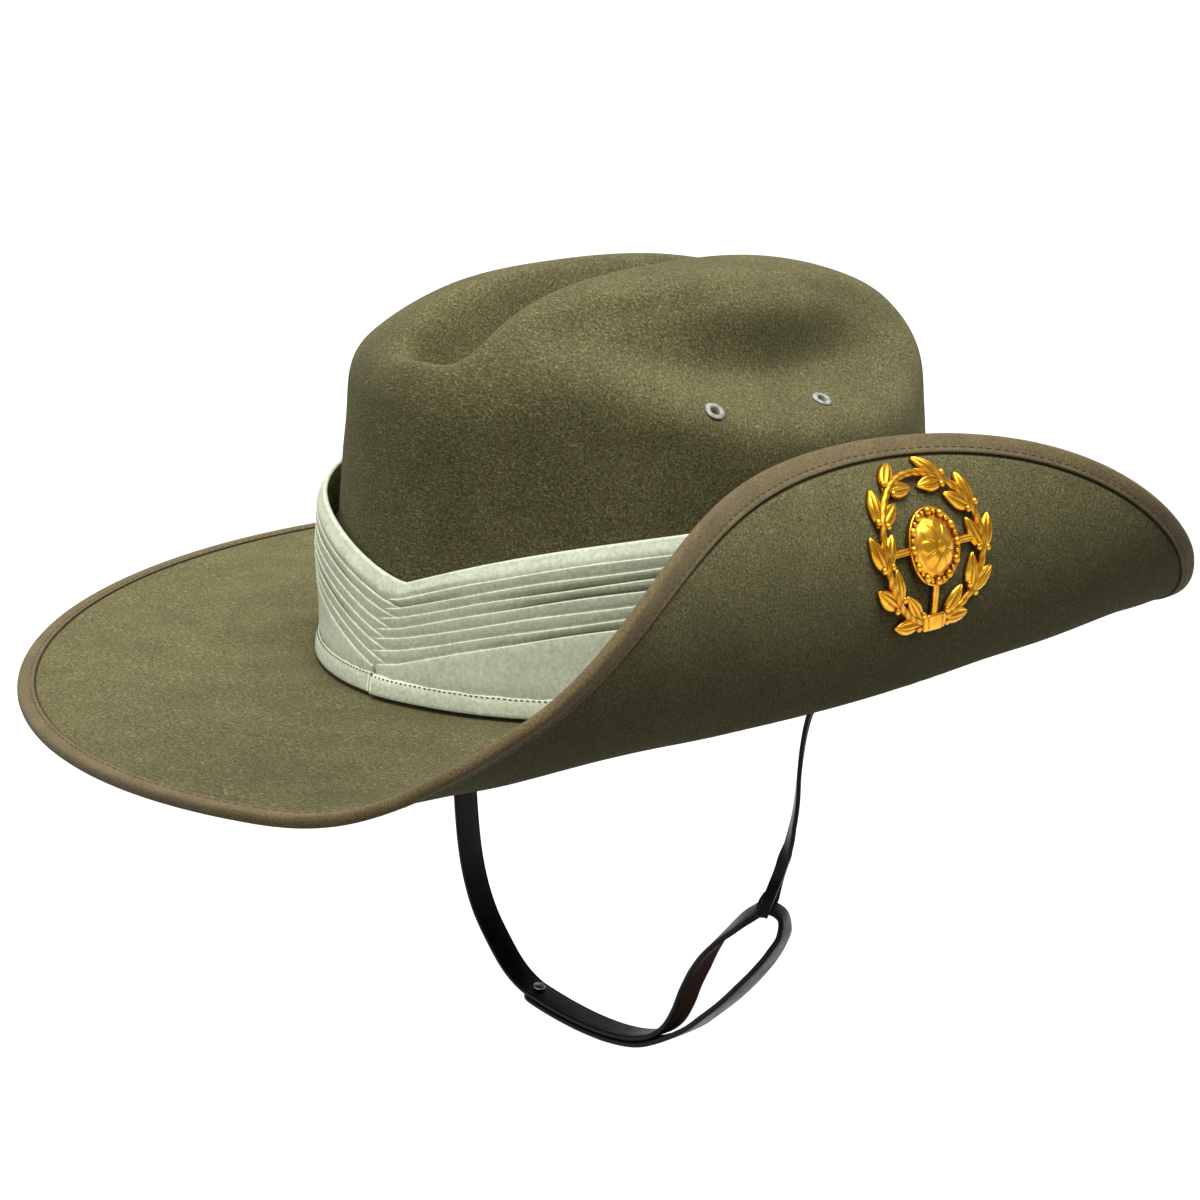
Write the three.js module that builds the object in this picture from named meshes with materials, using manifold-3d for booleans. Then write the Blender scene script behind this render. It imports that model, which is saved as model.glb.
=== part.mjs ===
// A felt slouch hat with its left brim turned up, in millimetres.
// The origin is the middle of the head opening, at the foot of the crown.
// +Z is up, the front of the hat faces -Y and the wearer's left is +X.
import * as THREE from 'three';
import { mergeVertices } from 'three/addons/utils/BufferGeometryUtils.js';
import Module from 'manifold-3d';

const wasm = await Module();
wasm.setup();

// Felt
const openingLength = 196;
const openingWidth = 168;
const wall = 2.4;
const baseFillet = 3;

// Crown: what its wall leans in by at leanHeight, its shoulder and its top
const leanHeight = 100;
const frontLean = 10;
const backLean = 11;
const sideLean = 5.2;
const shoulderHeight = 80;
const crownHeight = 118.5;
const capPower = 2.5;
const sideTilt = 0.1;
const foreTilt = -0.026;

// Centre crease along the top of the crown
const creaseDepth = 24;
const creaseHalfWidth = 12;
const creasePower = 2.7;
const creaseFrontSetback = 12.5;
const creaseRunIn = 13;
const creaseBackSetback = 10;
const creaseFade = 40;

// Dent along each side of the crown, under the ridge
const dentDepth = 22;
const dentHalfLength = 56;
const dentEndPower = 3;
const dentEndRise = 6;
const dentShelfHeight = 9;
const dentUpperHeight = 15;
const dentBelowTop = 22.5;
const dentMiddle = 2;
const ridgeHalfWidth = 33;
const ridgeBlend = 28;

// Brim widths, binding included, and how far the brim hangs at front and back
const brimFront = 96;
const brimBack = 87.5;
const brimRight = 91.3;
const brimLeft = 93;
const frontDroop = 6;
const backDroop = 10;
const brimSettle = 1;
const settleShare = 0.35;

// Turned-up left side: a tight bend beside the crown that opens out towards its ends
const bendTurn = 54;
const bendArc = 14.8;
const bendArcAtEnds = 72;
const bendMovesIn = 40;
const bendReach = 160;
const flapStandOff = 4.2;

// Braid binding folded over the edge of the brim
const bindingWidth = 6;
const bindingThickness = 0.8;
const bindingGap = 0.5;

// Pleated cloth band
const bandSideHeight = 55;
const bandPointDip = 19.5;
const bandDipSpread = 38;
const bandThickness = 3.4;
const pleatStep = 0.7;
const topRollStep = 0.4;
const hemHeight = 7;
const hemStep = 0.4;
const bandFootLift = 0.9;
const bandFootChamfer = 2.2;

// Eyelets
const eyeletHole = 1.2;
const eyeletBarrel = 1.7;
const eyeletFlange = 2.8;
const eyeletFlangeThickness = 0.6;

// Ornament on the flap: a laurel wreath round a domed boss
const wreathRadius = 20.5;
const stemRadius = 1.1;
const leafLength = 12;
const leafWidth = 5.2;
const leafThickness = 2.4;
const leafSpread = 24;
const leavesPerBranch = 5;
const wreathGap = 16;
const bossRadius = 10.5;
const bossThickness = 1.6;
const bossDome = 2.6;
const beadCount = 12;
const beadRadius = 1.3;
const spokeWidth = 2.4;
const tieWidth = 10;
const tieHeight = 5;
const lugWidth = 4.4;
const lugThickness = 1.6;
const lugSpacing = 26;
const lugOverhang = 1.4;
const pinRadius = 0.8;
const pinOverhang = 6;
const badgeBack = 12;
const badgeUpFlap = 58;

// Hidden clasp that holds the flap to the crown
const claspHalfAngle = 3.6;
const claspLowShare = 0.87;
const claspHighShare = 0.92;
const claspGap = 0.8;

// Chin strap
const strapWidth = 9.5;
const strapThickness = 1.8;
const strapDrop = 138;
const strapSeatTop = 16;
const strapSeatFoot = 2;
const strapSeatSlack = 0.8;
const keeperWidth = 3.6;
const shortStrapThickness = 1.4;
const keeperRoom = 1.5;
const studHole = 1;
const studHead = 2.2;
const studHeadThickness = 0.9;
const studFromEnd = 4.5;

// Gaps between pieces that touch on the real hat
const gap = 0.3;
const faceGap = 0.6;

// Mesh fineness
const columns = 52;
const columnCrowding = 0.15;
const bendSteps = 24;
const stationsPerSpot = 1.5;

const halfLength = openingLength / 2 + wall;
const halfWidth = openingWidth / 2 + wall;
const edgeInset = bindingGap + bindingThickness;
const up = new THREE.Vector3(0, 0, 1);
const { degToRad, smoothstep, clamp, lerp } = THREE.MathUtils;

function vector(x, y, z) {
  return new THREE.Vector3(x, y, z);
}

// Angle of a column round the hat: 0 is the front, a quarter turn the wearer's left.
// The columns crowd a little towards the front and the back, where the crease ends.
function columnAngle(column) {
  const even = (2 * Math.PI * column) / columns;
  return even - columnCrowding * Math.sin(2 * even);
}

function leanAt(angle) {
  return Math.cos(angle) > 0 ? frontLean : backLean;
}

// A point on the outside of the crown. Below the shoulder turn is 0 and height counts;
// above it turn runs from 0 to a quarter circle at the middle of the top.
function crownPoint(angle, height, turn = 0) {
  const spread = Math.cos(turn) ** (2 / capPower);
  const lift = Math.sin(turn) ** (2 / capPower);
  const level = turn > 0 ? shoulderHeight + (crownHeight - shoulderHeight) * lift : height;
  const lean = Math.min(level, 1.1 * leanHeight) / leanHeight;
  const y = -spread * (halfLength - leanAt(angle) * lean) * Math.cos(angle);
  const plainX = spread * (halfWidth - sideLean * lean) * Math.sin(angle);
  const side = Math.sign(plainX);
  const dentEnds = Math.abs((y - dentMiddle) / dentHalfLength) ** dentEndPower;
  const aboveDent = level - crownHeight + dentBelowTop - dentEndRise * dentEnds;
  const dentHeight = aboveDent < 0 ? dentShelfHeight : dentUpperHeight;
  const dentAlong = Math.exp(-dentEnds);
  const dentUp = Math.exp(-((aboveDent / dentHeight) ** 2));
  const dentOut = smoothstep(side * plainX, ridgeHalfWidth, ridgeHalfWidth + ridgeBlend);
  const x = plainX - side * dentDepth * dentAlong * dentUp * dentOut;
  const creaseAcross = Math.exp(-(Math.abs(x / creaseHalfWidth) ** creasePower));
  const creaseStart = creaseFrontSetback - halfLength;
  const creaseEnd = halfLength - creaseBackSetback;
  const creaseAlong = smoothstep(y, creaseStart, creaseStart + creaseRunIn)
    * (1 - smoothstep(y, creaseEnd - creaseFade, creaseEnd));
  const onTop = smoothstep(level, shoulderHeight, crownHeight);
  const z = level - creaseDepth * creaseAcross * creaseAlong + (sideTilt * x + foreTilt * y) * onTop;
  return vector(x, y, z);
}

// The brim is a flat oval sheet that droops at front and back, then bends up on the left.
// The bend's slope grows smoothly over its arc, and the flap beyond goes on curling.
function bendUp(x, y, z, curl) {
  const toEnd = clamp(Math.abs(y) / bendReach, 0, 1) ** 2;
  const arc = lerp(bendArc, bendArcAtEnds, toEnd);
  const start = halfWidth - bendMovesIn * toEnd;
  const run = Math.max(0, x - start);
  const bent = vector(Math.min(x, start), y, z);
  const step = run / bendSteps;
  for (let index = 0; index < bendSteps; index += 1) {
    const along = (index + 0.5) * step;
    const share = Math.min(along / arc, 1);
    const slope = bendTurn * (3 * share ** 2 - 2 * share ** 3) + curl * Math.max(0, along - arc);
    bent.x += step * Math.cos(degToRad(slope));
    bent.z += step * Math.sin(degToRad(slope));
  }
  return bent;
}

// A spot of the flat sheet, bent; settled runs from 0 at the crown's foot to 1.
function sheetPoint(x, y, settled, curl) {
  const reach = halfLength + (y < 0 ? brimFront : brimBack);
  const droop = (y < 0 ? frontDroop : backDroop) * (y / reach) ** 2;
  return bendUp(x, y, -(droop + brimSettle) * settled, curl);
}

// A point on the brim's upper face: share 0 is the foot of the crown and 1 the felt's edge.
function brimPointCurled(angle, share, curl) {
  const sideways = Math.sin(angle);
  const forwards = Math.cos(angle);
  const reachX = halfWidth + (sideways > 0 ? brimLeft : brimRight) - edgeInset;
  const reachY = halfLength + (forwards > 0 ? brimFront : brimBack) - edgeInset;
  const x = lerp(halfWidth, reachX, share) * sideways;
  const y = -lerp(halfLength, reachY, share) * forwards;
  return sheetPoint(x, y, smoothstep(share, 0, settleShare), curl);
}

// The flap curls just enough for its edge to stand flapStandOff outside the crown.
function solveCurl() {
  let low = 0;
  let high = 3;
  for (let round = 0; round < 40; round += 1) {
    const middle = (low + high) / 2;
    const edge = brimPointCurled(Math.PI / 2, 1, middle);
    const room = edge.x - crownPoint(Math.PI / 2, edge.z).x;
    if (room > flapStandOff) {
      low = middle;
    } else {
      high = middle;
    }
  }
  return low;
}

const flapCurl = solveCurl();

function brimPoint(angle, share) {
  return brimPointCurled(angle, share, flapCurl);
}

// Unit normal of the brim's upper face, from two short steps along it.
function brimNormal(angle, share) {
  const step = 0.002;
  const outward = brimPoint(angle, share + step).sub(brimPoint(angle, share - step));
  const around = brimPoint(angle + step, share).sub(brimPoint(angle - step, share));
  return outward.cross(around).normalize();
}

function brimWidthAt(angle) {
  return brimPointCurled(angle, 1, 0).sub(brimPointCurled(angle, 0, 0)).length();
}

// Share of the brim's width at which the binding's inner edge lies.
function bindingShare(angle) {
  return 1 - (bindingWidth - edgeInset) / brimWidthAt(angle);
}

// Geometry from rows of points that go once round the hat, one row after another.
// Two poles close the stack at its ends; without them the last row joins the first.
// The strips in crossed have their diagonals turned, to lie along a neighbour's facets.
function stackGeometry(rows, poles = [], crossed = []) {
  const points = rows.flat();
  const count = rows[0].length;
  const triangles = [];
  const closed = poles.length === 0;
  const lastRow = closed ? rows.length : rows.length - 1;
  for (let row = 0; row < lastRow; row += 1) {
    const here = row * count;
    const there = ((row + 1) % rows.length) * count;
    for (let column = 0; column < count; column += 1) {
      const next = (column + 1) % count;
      if (crossed.includes(row)) {
        triangles.push(here + column, there + column, here + next);
        triangles.push(there + column, there + next, here + next);
      } else {
        triangles.push(here + column, there + column, there + next);
        triangles.push(here + column, there + next, here + next);
      }
    }
  }
  if (!closed) {
    const start = points.length;
    const last = (rows.length - 1) * count;
    points.push(...poles);
    for (let column = 0; column < count; column += 1) {
      const next = (column + 1) % count;
      triangles.push(start, column, next);
      triangles.push(last + column, start + 1, last + next);
    }
  }
  const geometry = new THREE.BufferGeometry().setFromPoints(points);
  geometry.setIndex(triangles);
  geometry.computeVertexNormals();
  return geometry;
}

function toSolid(geometry) {
  const bare = geometry.clone();
  bare.deleteAttribute('normal');
  bare.deleteAttribute('uv');
  const merged = mergeVertices(bare, 1e-4);
  const mesh = new wasm.Mesh({
    numProp: 3,
    vertProperties: Float32Array.from(merged.attributes.position.array),
    triVerts: Uint32Array.from(merged.index.array),
  });
  return new wasm.Manifold(mesh);
}

function toGeometry(solid) {
  const mesh = solid.getMesh();
  const geometry = new THREE.BufferGeometry();
  geometry.setAttribute('position', new THREE.BufferAttribute(mesh.vertProperties, 3));
  geometry.setIndex(new THREE.BufferAttribute(mesh.triVerts, 1));
  geometry.computeVertexNormals();
  return geometry;
}

function joinAll(geometries) {
  return geometries.map(toSolid).reduce((joined, solid) => joined.add(solid));
}

// A frame at a point: its third axis is the given outward direction.
function frameAt(point, outward, sideways) {
  const third = outward.clone().normalize();
  const first = sideways.clone().addScaledVector(third, -sideways.dot(third)).normalize();
  const second = third.clone().cross(first);
  return new THREE.Matrix4().makeBasis(first, second, third).setPosition(point);
}

function place(mesh, frame) {
  mesh.position.setFromMatrixPosition(frame);
  mesh.quaternion.setFromRotationMatrix(frame);
  return mesh;
}

// Eyelets: two in the dent on each side of the crown.
// around is the angle from the front, up the share of a quarter turn above the shoulder.
const eyeletPlaces = [
  { name: 'front', around: 65, up: 0.06 },
  { name: 'back', around: 90, up: 0.052 },
];

function crownFrame(angle, turn) {
  const step = 0.01;
  const point = crownPoint(angle, 0, turn);
  const around = crownPoint(angle + step, 0, turn).sub(crownPoint(angle - step, 0, turn));
  const rising = crownPoint(angle, 0, turn + step).sub(crownPoint(angle, 0, turn - step));
  const outward = around.clone().cross(rising);
  return frameAt(point, outward, around);
}

const eyeletSites = [];
for (const side of [1, -1]) {
  for (const spot of eyeletPlaces) {
    const angle = side * degToRad(spot.around);
    const frame = crownFrame(angle, (spot.up * Math.PI) / 2);
    const sideName = side > 0 ? 'left' : 'right';
    eyeletSites.push({ name: `eyelet_${sideName}_${spot.name}`, frame });
  }
}

// Closed ring profile of an eyelet; grow widens it all round to cut its seat in the felt.
function eyeletGeometry(grow) {
  const half = eyeletFlangeThickness / 2;
  const top = half + grow;
  const under = -half - grow;
  const bottom = -wall - half - grow;
  const over = -wall + half + grow;
  const hole = grow > 0 ? 0 : eyeletHole;
  const barrel = eyeletBarrel + grow;
  const flange = eyeletFlange + grow;
  const profile = [
    new THREE.Vector2(hole, bottom),
    new THREE.Vector2(flange, bottom),
    new THREE.Vector2(flange, over),
    new THREE.Vector2(barrel, over),
    new THREE.Vector2(barrel, under),
    new THREE.Vector2(flange, under),
    new THREE.Vector2(flange, top),
    new THREE.Vector2(hole, top),
  ];
  if (hole > 0) {
    profile.push(profile[0].clone());
  }
  return new THREE.LatheGeometry(profile, 8).rotateX(Math.PI / 2);
}

// A point off the outside of the flap, which is the underside of the brim: along and rise
// are measured on the felt from the badge's middle, and out away from the felt.
function flapPoint(along, rise, out) {
  const x = halfWidth + badgeUpFlap + rise;
  const y = badgeBack + along;
  const step = 0.5;
  const outward = sheetPoint(x + step, y, 1, flapCurl).sub(sheetPoint(x - step, y, 1, flapCurl));
  const sideways = sheetPoint(x, y + step, 1, flapCurl).sub(sheetPoint(x, y - step, 1, flapCurl));
  const normal = sideways.cross(outward).normalize();
  return sheetPoint(x, y, 1, flapCurl).addScaledVector(normal, wall + out);
}

// Ornament frame on the outside of the flap: along the felt, up the felt and out of it.
const badgeSeat = flapPoint(0, 0, 0);
const badgeNormal = flapPoint(0, 0, 1).sub(badgeSeat);
const badgeFrame = frameAt(badgeSeat, badgeNormal, vector(0, 1, 0));
const toBadge = badgeFrame.clone().invert();

// Curves a flat piece so that its back follows the flap at the given stand-off.
function followFlap(geometry, stand) {
  const spots = geometry.attributes.position;
  for (let index = 0; index < spots.count; index += 1) {
    const out = stand + spots.getZ(index);
    const spot = flapPoint(spots.getX(index), spots.getY(index), out).applyMatrix4(toBadge);
    spots.setXYZ(index, spot.x, spot.y, spot.z);
  }
  geometry.computeVertexNormals();
  return geometry;
}

// The straight pin lies against the felt where the flap's upper face bows towards it most.
const pinLength = lugSpacing + 2 * pinOverhang;
const pinSag = Math.max(...[-0.5, 0.5].map((end) => {
  return -flapPoint(end * pinLength, 0, -wall).applyMatrix4(toBadge).z - wall;
}));
const pinDepth = wall + Math.max(0, pinSag) + faceGap + pinRadius;
const lugDepth = pinDepth + pinRadius + lugOverhang;

function lugGeometry(side, grow) {
  const length = lugDepth + bossThickness / 2;
  const lug = new THREE.BoxGeometry(lugThickness + 2 * grow, lugWidth + 2 * grow, length);
  lug.translate((side * lugSpacing) / 2, 0, bossThickness / 2 - length / 2);
  return lug;
}

function cutFelt(geometry) {
  let felt = toSolid(geometry);
  for (const site of eyeletSites) {
    const seat = eyeletGeometry(gap).applyMatrix4(site.frame);
    felt = felt.subtract(toSolid(seat));
  }
  for (const side of [1, -1]) {
    const slot = lugGeometry(side, gap).applyMatrix4(badgeFrame);
    felt = felt.subtract(toSolid(slot));
  }
  return toGeometry(felt);
}

// Rows of the crown: turns above the shoulder in degrees, then shares of the wall's height.
const capTurns = [87, 83.5, 79.5, 74, 64, 49, 33, 18, 6];
const wallShares = [1, 0.5];
const brimShares = [0.1, 0.21, 0.34, 0.49, 0.65, 0.81];

function ringOf(pointAt) {
  const ring = [];
  for (let column = 0; column < columns; column += 1) {
    ring.push(pointAt(columnAngle(column)));
  }
  return ring;
}

// The rounded corner where the wall runs out into the brim.
function filletPoint(angle, share) {
  const wallFoot = crownPoint(angle, baseFillet);
  const corner = crownPoint(angle, 0);
  const brimStart = brimPoint(angle, baseFillet / brimWidthAt(angle));
  const first = wallFoot.lerp(corner, share);
  const second = corner.clone().lerp(brimStart, share);
  return first.lerp(second, share);
}

function outerRows() {
  const rows = [];
  for (const turn of capTurns) {
    rows.push(ringOf((angle) => crownPoint(angle, 0, degToRad(turn))));
  }
  for (const share of wallShares) {
    rows.push(ringOf((angle) => crownPoint(angle, shoulderHeight * share)));
  }
  for (const share of [0, 0.5, 1]) {
    rows.push(ringOf((angle) => filletPoint(angle, share)));
  }
  for (const share of brimShares) {
    rows.push(ringOf((angle) => brimPoint(angle, share)));
  }
  rows.push(ringOf((angle) => brimPoint(angle, bindingShare(angle))));
  rows.push(ringOf((angle) => brimPoint(angle, 1)));
  return rows;
}

function rowNormals(rows, pole) {
  return rows.map((row, index) => row.map((point, column) => {
    const count = row.length;
    const before = index > 0 ? rows[index - 1][column] : pole;
    const after = index < rows.length - 1 ? rows[index + 1][column] : point;
    const left = row[(column + count - 1) % count];
    const right = row[(column + 1) % count];
    const outward = after.clone().sub(before);
    const around = right.clone().sub(left);
    return outward.cross(around).normalize();
  }));
}

const feltPole = crownPoint(0, 0, Math.PI / 2);
const feltRows = outerRows();
const feltNormals = rowNormals(feltRows, feltPole);

// The felt is one sheet: its outer rows, then the same rows set in by the wall.
function feltGeometry() {
  const inner = feltRows.map((row, index) => row.map((point, column) => {
    return point.clone().addScaledVector(feltNormals[index][column], -wall);
  }));
  const rows = [...feltRows, ...inner.reverse()];
  const innerPole = feltPole.clone().addScaledVector(up, -wall);
  return cutFelt(stackGeometry(rows, [feltPole, innerPole]));
}

// The binding wraps the edge as a U: each column holds one closed section.
function bindingGeometry() {
  const edgeRow = feltRows.length - 1;
  const sections = feltRows[edgeRow].map((edge, column) => {
    const inside = feltRows[edgeRow - 1][column];
    const edgeNormal = feltNormals[edgeRow][column];
    const insideNormal = feltNormals[edgeRow - 1][column];
    const outward = edge.clone().sub(inside).normalize();
    const near = bindingGap;
    const far = near + bindingThickness;
    const at = (point, normal, lift, reach) => {
      return point.clone().addScaledVector(normal, lift).addScaledVector(outward, reach);
    };
    return [
      at(inside, insideNormal, near, 0),
      at(inside, insideNormal, far, 0),
      at(edge, edgeNormal, far, 0),
      at(edge, edgeNormal, -wall / 2, far),
      at(edge, edgeNormal, -wall - far, 0),
      at(inside, insideNormal, -wall - far, 0),
      at(inside, insideNormal, -wall - near, 0),
      at(edge, edgeNormal, -wall - near, near),
      at(edge, edgeNormal, near, near),
    ];
  });
  const innerFaces = [6, 8];
  return ringFromSections(sections, innerFaces);
}

// Turns one closed section per column into rows round the hat.
function ringFromSections(sections, crossed) {
  const rows = sections[0].map((unused, index) => sections.map((section) => section[index]));
  return stackGeometry(rows, [], crossed);
}

// Height of the band's upper edge: it dips to a point just left of the front and opposite.
const bandPoint = columnAngle(1);

function bandTop(angle) {
  const fromFront = Math.abs(Math.atan2(Math.sin(angle - bandPoint), Math.cos(angle - bandPoint)));
  const fromPoint = Math.min(fromFront, Math.PI - fromFront);
  const rise = Math.tanh(fromPoint / degToRad(bandDipSpread));
  return bandSideHeight - bandPointDip * (1 - rise);
}

// Folded edges of the seven pleats, which face up, as shares of the band's height below its top.
const pleatDrops = [0.115, 0.195, 0.265, 0.355, 0.445, 0.525, 0.585];

function bandSection(angle) {
  const top = bandTop(angle);
  const outward = crownPoint(angle, 0).setZ(0).normalize();
  const at = (height, reach) => crownPoint(angle, height).addScaledVector(outward, reach);
  const inner = faceGap;
  const outer = faceGap + bandThickness;
  const section = [at(top, inner), at(top, outer - topRollStep)];
  for (const drop of pleatDrops) {
    section.push(at(top * (1 - drop) + 0.5 * gap, outer - pleatStep));
    section.push(at(top * (1 - drop) - 0.5 * gap, outer));
  }
  section.push(at(hemHeight + 0.5 * gap, outer - pleatStep));
  section.push(at(hemHeight - 0.5 * gap, outer - pleatStep + hemStep));
  section.push(at(bandFootLift, outer - pleatStep + hemStep));
  section.push(at(bandFootLift + bandFootChamfer, inner));
  return section;
}

function bandGeometry() {
  const sections = [];
  for (let column = 0; column < columns; column += 1) {
    sections.push(bandSection(columnAngle(column)));
  }
  return ringFromSections(sections);
}

// One laurel leaf: a pointed lozenge with a raised midrib.
function leafGeometry(spot, heading) {
  const leaf = new THREE.OctahedronGeometry(1);
  leaf.scale(leafLength / 2, leafWidth / 2, leafThickness / 2);
  leaf.rotateZ(heading);
  leaf.translate(spot.x, spot.y, leafThickness / 2);
  return leaf;
}

// How far a leaf stands off the stem, as a share of its width, and where a branch's first leaf
// grows, as a share of the step between leaves.
const leafFootShare = 0.45;
const firstLeafShare = 0.8;

function wreathGeometries() {
  const pieces = [];
  const stem = new THREE.TorusGeometry(wreathRadius, stemRadius, 4, 24);
  stem.translate(0, 0, stemRadius);
  pieces.push(stem);
  const span = Math.PI - degToRad(wreathGap);
  for (const side of [1, -1]) {
    for (let index = 0; index < leavesPerBranch; index += 1) {
      const turn = span * ((index + firstLeafShare) / leavesPerBranch) - Math.PI / 2;
      const along = turn + Math.PI / 2;
      for (const lean of [1, -1]) {
        const reach = wreathRadius + lean * leafWidth * leafFootShare;
        const spot = { x: side * reach * Math.cos(turn), y: reach * Math.sin(turn) };
        const heading = along - lean * degToRad(leafSpread);
        pieces.push(leafGeometry(spot, side > 0 ? heading : Math.PI - heading));
      }
    }
  }
  return pieces;
}

function bossGeometries() {
  const profile = [
    new THREE.Vector2(0, 0),
    new THREE.Vector2(0.55 * bossRadius, 0),
    new THREE.Vector2(bossRadius, 0),
    new THREE.Vector2(bossRadius, bossThickness),
    new THREE.Vector2(bossRadius - 2 * beadRadius, bossThickness),
    new THREE.Vector2(0.45 * bossRadius, bossThickness + 0.8 * bossDome),
    new THREE.Vector2(0, bossThickness + bossDome),
  ];
  const pieces = [new THREE.LatheGeometry(profile, 12).rotateX(Math.PI / 2)];
  for (let index = 0; index < beadCount; index += 1) {
    const turn = (2 * Math.PI * index) / beadCount;
    const bead = new THREE.OctahedronGeometry(beadRadius);
    const ring = bossRadius - beadRadius;
    bead.translate(ring * Math.cos(turn), ring * Math.sin(turn), bossThickness);
    pieces.push(bead);
  }
  return pieces;
}

function badgeGeometry() {
  const pieces = [...wreathGeometries(), ...bossGeometries()];
  const spoke = new THREE.BoxGeometry(2 * wreathRadius, spokeWidth, bossThickness, 4, 1, 1);
  pieces.push(spoke.translate(0, 0, bossThickness / 2));
  const tie = new THREE.BoxGeometry(tieWidth, tieHeight, leafThickness);
  pieces.push(tie.translate(0, -wreathRadius, leafThickness / 2));
  const strut = new THREE.BoxGeometry(spokeWidth, wreathRadius, bossThickness, 1, 4, 1);
  pieces.push(strut.translate(0, -wreathRadius / 2, bossThickness / 2));
  let badge = joinAll(pieces.map((piece) => followFlap(piece, faceGap)));
  for (const side of [1, -1]) {
    badge = badge.add(toSolid(lugGeometry(side, 0)));
  }
  const bore = pinGeometry(pinRadius + gap, pinLength);
  return toGeometry(badge.subtract(toSolid(bore)));
}

function pinGeometry(radius, length) {
  const pin = new THREE.CylinderGeometry(radius, radius, length, 8);
  pin.rotateZ(Math.PI / 2);
  return pin.translate(0, 0, -pinDepth);
}

// A six-faced block from eight corners: four of one face, then four of the other.
function blockGeometry(near, far) {
  const geometry = new THREE.BufferGeometry().setFromPoints([...near, ...far]);
  const sides = [0, 1, 2, 0, 2, 3, 4, 6, 5, 4, 7, 6];
  for (let index = 0; index < 4; index += 1) {
    const next = (index + 1) % 4;
    sides.push(index, index + 4, next + 4, index, next + 4, next);
  }
  geometry.setIndex(sides);
  geometry.computeVertexNormals();
  return geometry;
}

// The clasp fills the space between the crown and the flap, just under the flap's edge.
function claspGeometry() {
  const turn = degToRad(claspHalfAngle);
  const spots = [
    [Math.PI / 2 - turn, claspLowShare],
    [Math.PI / 2 - turn, claspHighShare],
    [Math.PI / 2 + turn, claspHighShare],
    [Math.PI / 2 + turn, claspLowShare],
  ];
  const onFlap = spots.map(([angle, share]) => {
    return brimPoint(angle, share).addScaledVector(brimNormal(angle, share), claspGap);
  });
  const onCrown = onFlap.map((point) => {
    const angle = Math.atan2(point.x / halfWidth, -point.y / halfLength);
    const seat = crownPoint(angle, point.z);
    return vector(seat.x + claspGap, point.y, point.z);
  });
  return blockGeometry(onCrown, onFlap);
}

// A strap swept along stations; each has a centre, the direction across and its width.
function strapGeometry(stations, thickness) {
  const points = [];
  stations.forEach((station, index) => {
    const before = stations[Math.max(index - 1, 0)].centre;
    const after = stations[Math.min(index + 1, stations.length - 1)].centre;
    const along = after.clone().sub(before).normalize();
    const face = station.across.clone().cross(along).normalize();
    const across = along.clone().cross(face);
    for (const [side, lift] of [[1, 1], [-1, 1], [-1, -1], [1, -1]]) {
      const corner = station.centre.clone();
      corner.addScaledVector(across, (side * station.width) / 2);
      corner.addScaledVector(face, (lift * thickness) / 2);
      points.push(corner);
    }
  });
  const triangles = [0, 1, 2, 0, 2, 3];
  for (let index = 0; index < stations.length - 1; index += 1) {
    const here = 4 * index;
    for (let corner = 0; corner < 4; corner += 1) {
      const next = (corner + 1) % 4;
      triangles.push(here + corner, here + corner + 4, here + next + 4);
      triangles.push(here + corner, here + next + 4, here + next);
    }
  }
  const last = points.length - 4;
  triangles.push(last, last + 2, last + 1, last, last + 3, last + 2);
  const geometry = new THREE.BufferGeometry().setFromPoints(points);
  geometry.setIndex(triangles);
  geometry.computeVertexNormals();
  return geometry;
}

// Straps start inside the hat, flat on the crown's inner wall at the wearer's side.
const seatHeights = [strapSeatTop, (strapSeatTop + strapSeatFoot) / 2, strapSeatFoot];

function wallSeat(side, height, thickness) {
  const inner = crownPoint(Math.PI / 2, height).x - wall - strapSeatSlack - thickness / 2;
  return vector(side * inner, 0, height);
}

// Smooth stations through a table of spots; x and y are shares of the crown's half width,
// drop is a share of the strap's drop, yaw turns the strap's width from -Y towards +X.
function routeSpots(table) {
  return table.map((row) => ({
    centre: vector(row.x * halfWidth, (row.y ?? 0) * halfWidth, -row.drop * strapDrop),
    across: turnedAcross(row.yaw ?? 0),
    width: row.width ?? strapWidth,
  }));
}

function turnedAcross(yaw) {
  return vector(Math.sin(degToRad(yaw)), -Math.cos(degToRad(yaw)), 0);
}

function smoothStations(spots) {
  const steps = Math.round(stationsPerSpot * (spots.length - 1));
  const curve = new THREE.CatmullRomCurve3(spots.map((spot) => spot.centre), false, 'centripetal');
  const stations = [];
  for (let index = 0; index <= steps; index += 1) {
    const place = (index / steps) * (spots.length - 1);
    const low = Math.min(Math.floor(place), spots.length - 2);
    const share = place - low;
    stations.push({
      centre: curve.getPoint(index / steps),
      across: spots[low].across.clone().lerp(spots[low + 1].across, share).normalize(),
      width: lerp(spots[low].width, spots[low + 1].width, share),
    });
  }
  return stations;
}

// The long strap hangs from the wearer's right and runs under the chin.
const hangingSpots = [
  { x: -0.955, drop: 0.3 },
  { x: -0.952, drop: 0.53 },
  { x: -0.914, drop: 0.7 },
  { x: -0.85, drop: 0.8 },
  { x: -0.76, drop: 0.873 },
  { x: -0.67, drop: 0.927 },
  { x: -0.578, drop: 0.957 },
  { x: -0.482, drop: 0.969 },
  { x: -0.358, drop: 0.979 },
  { x: -0.22, drop: 0.984 },
  { x: -0.081, drop: 0.981 },
  { x: 0.046, drop: 0.967 },
  { x: 0.139, drop: 0.943 },
];

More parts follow.
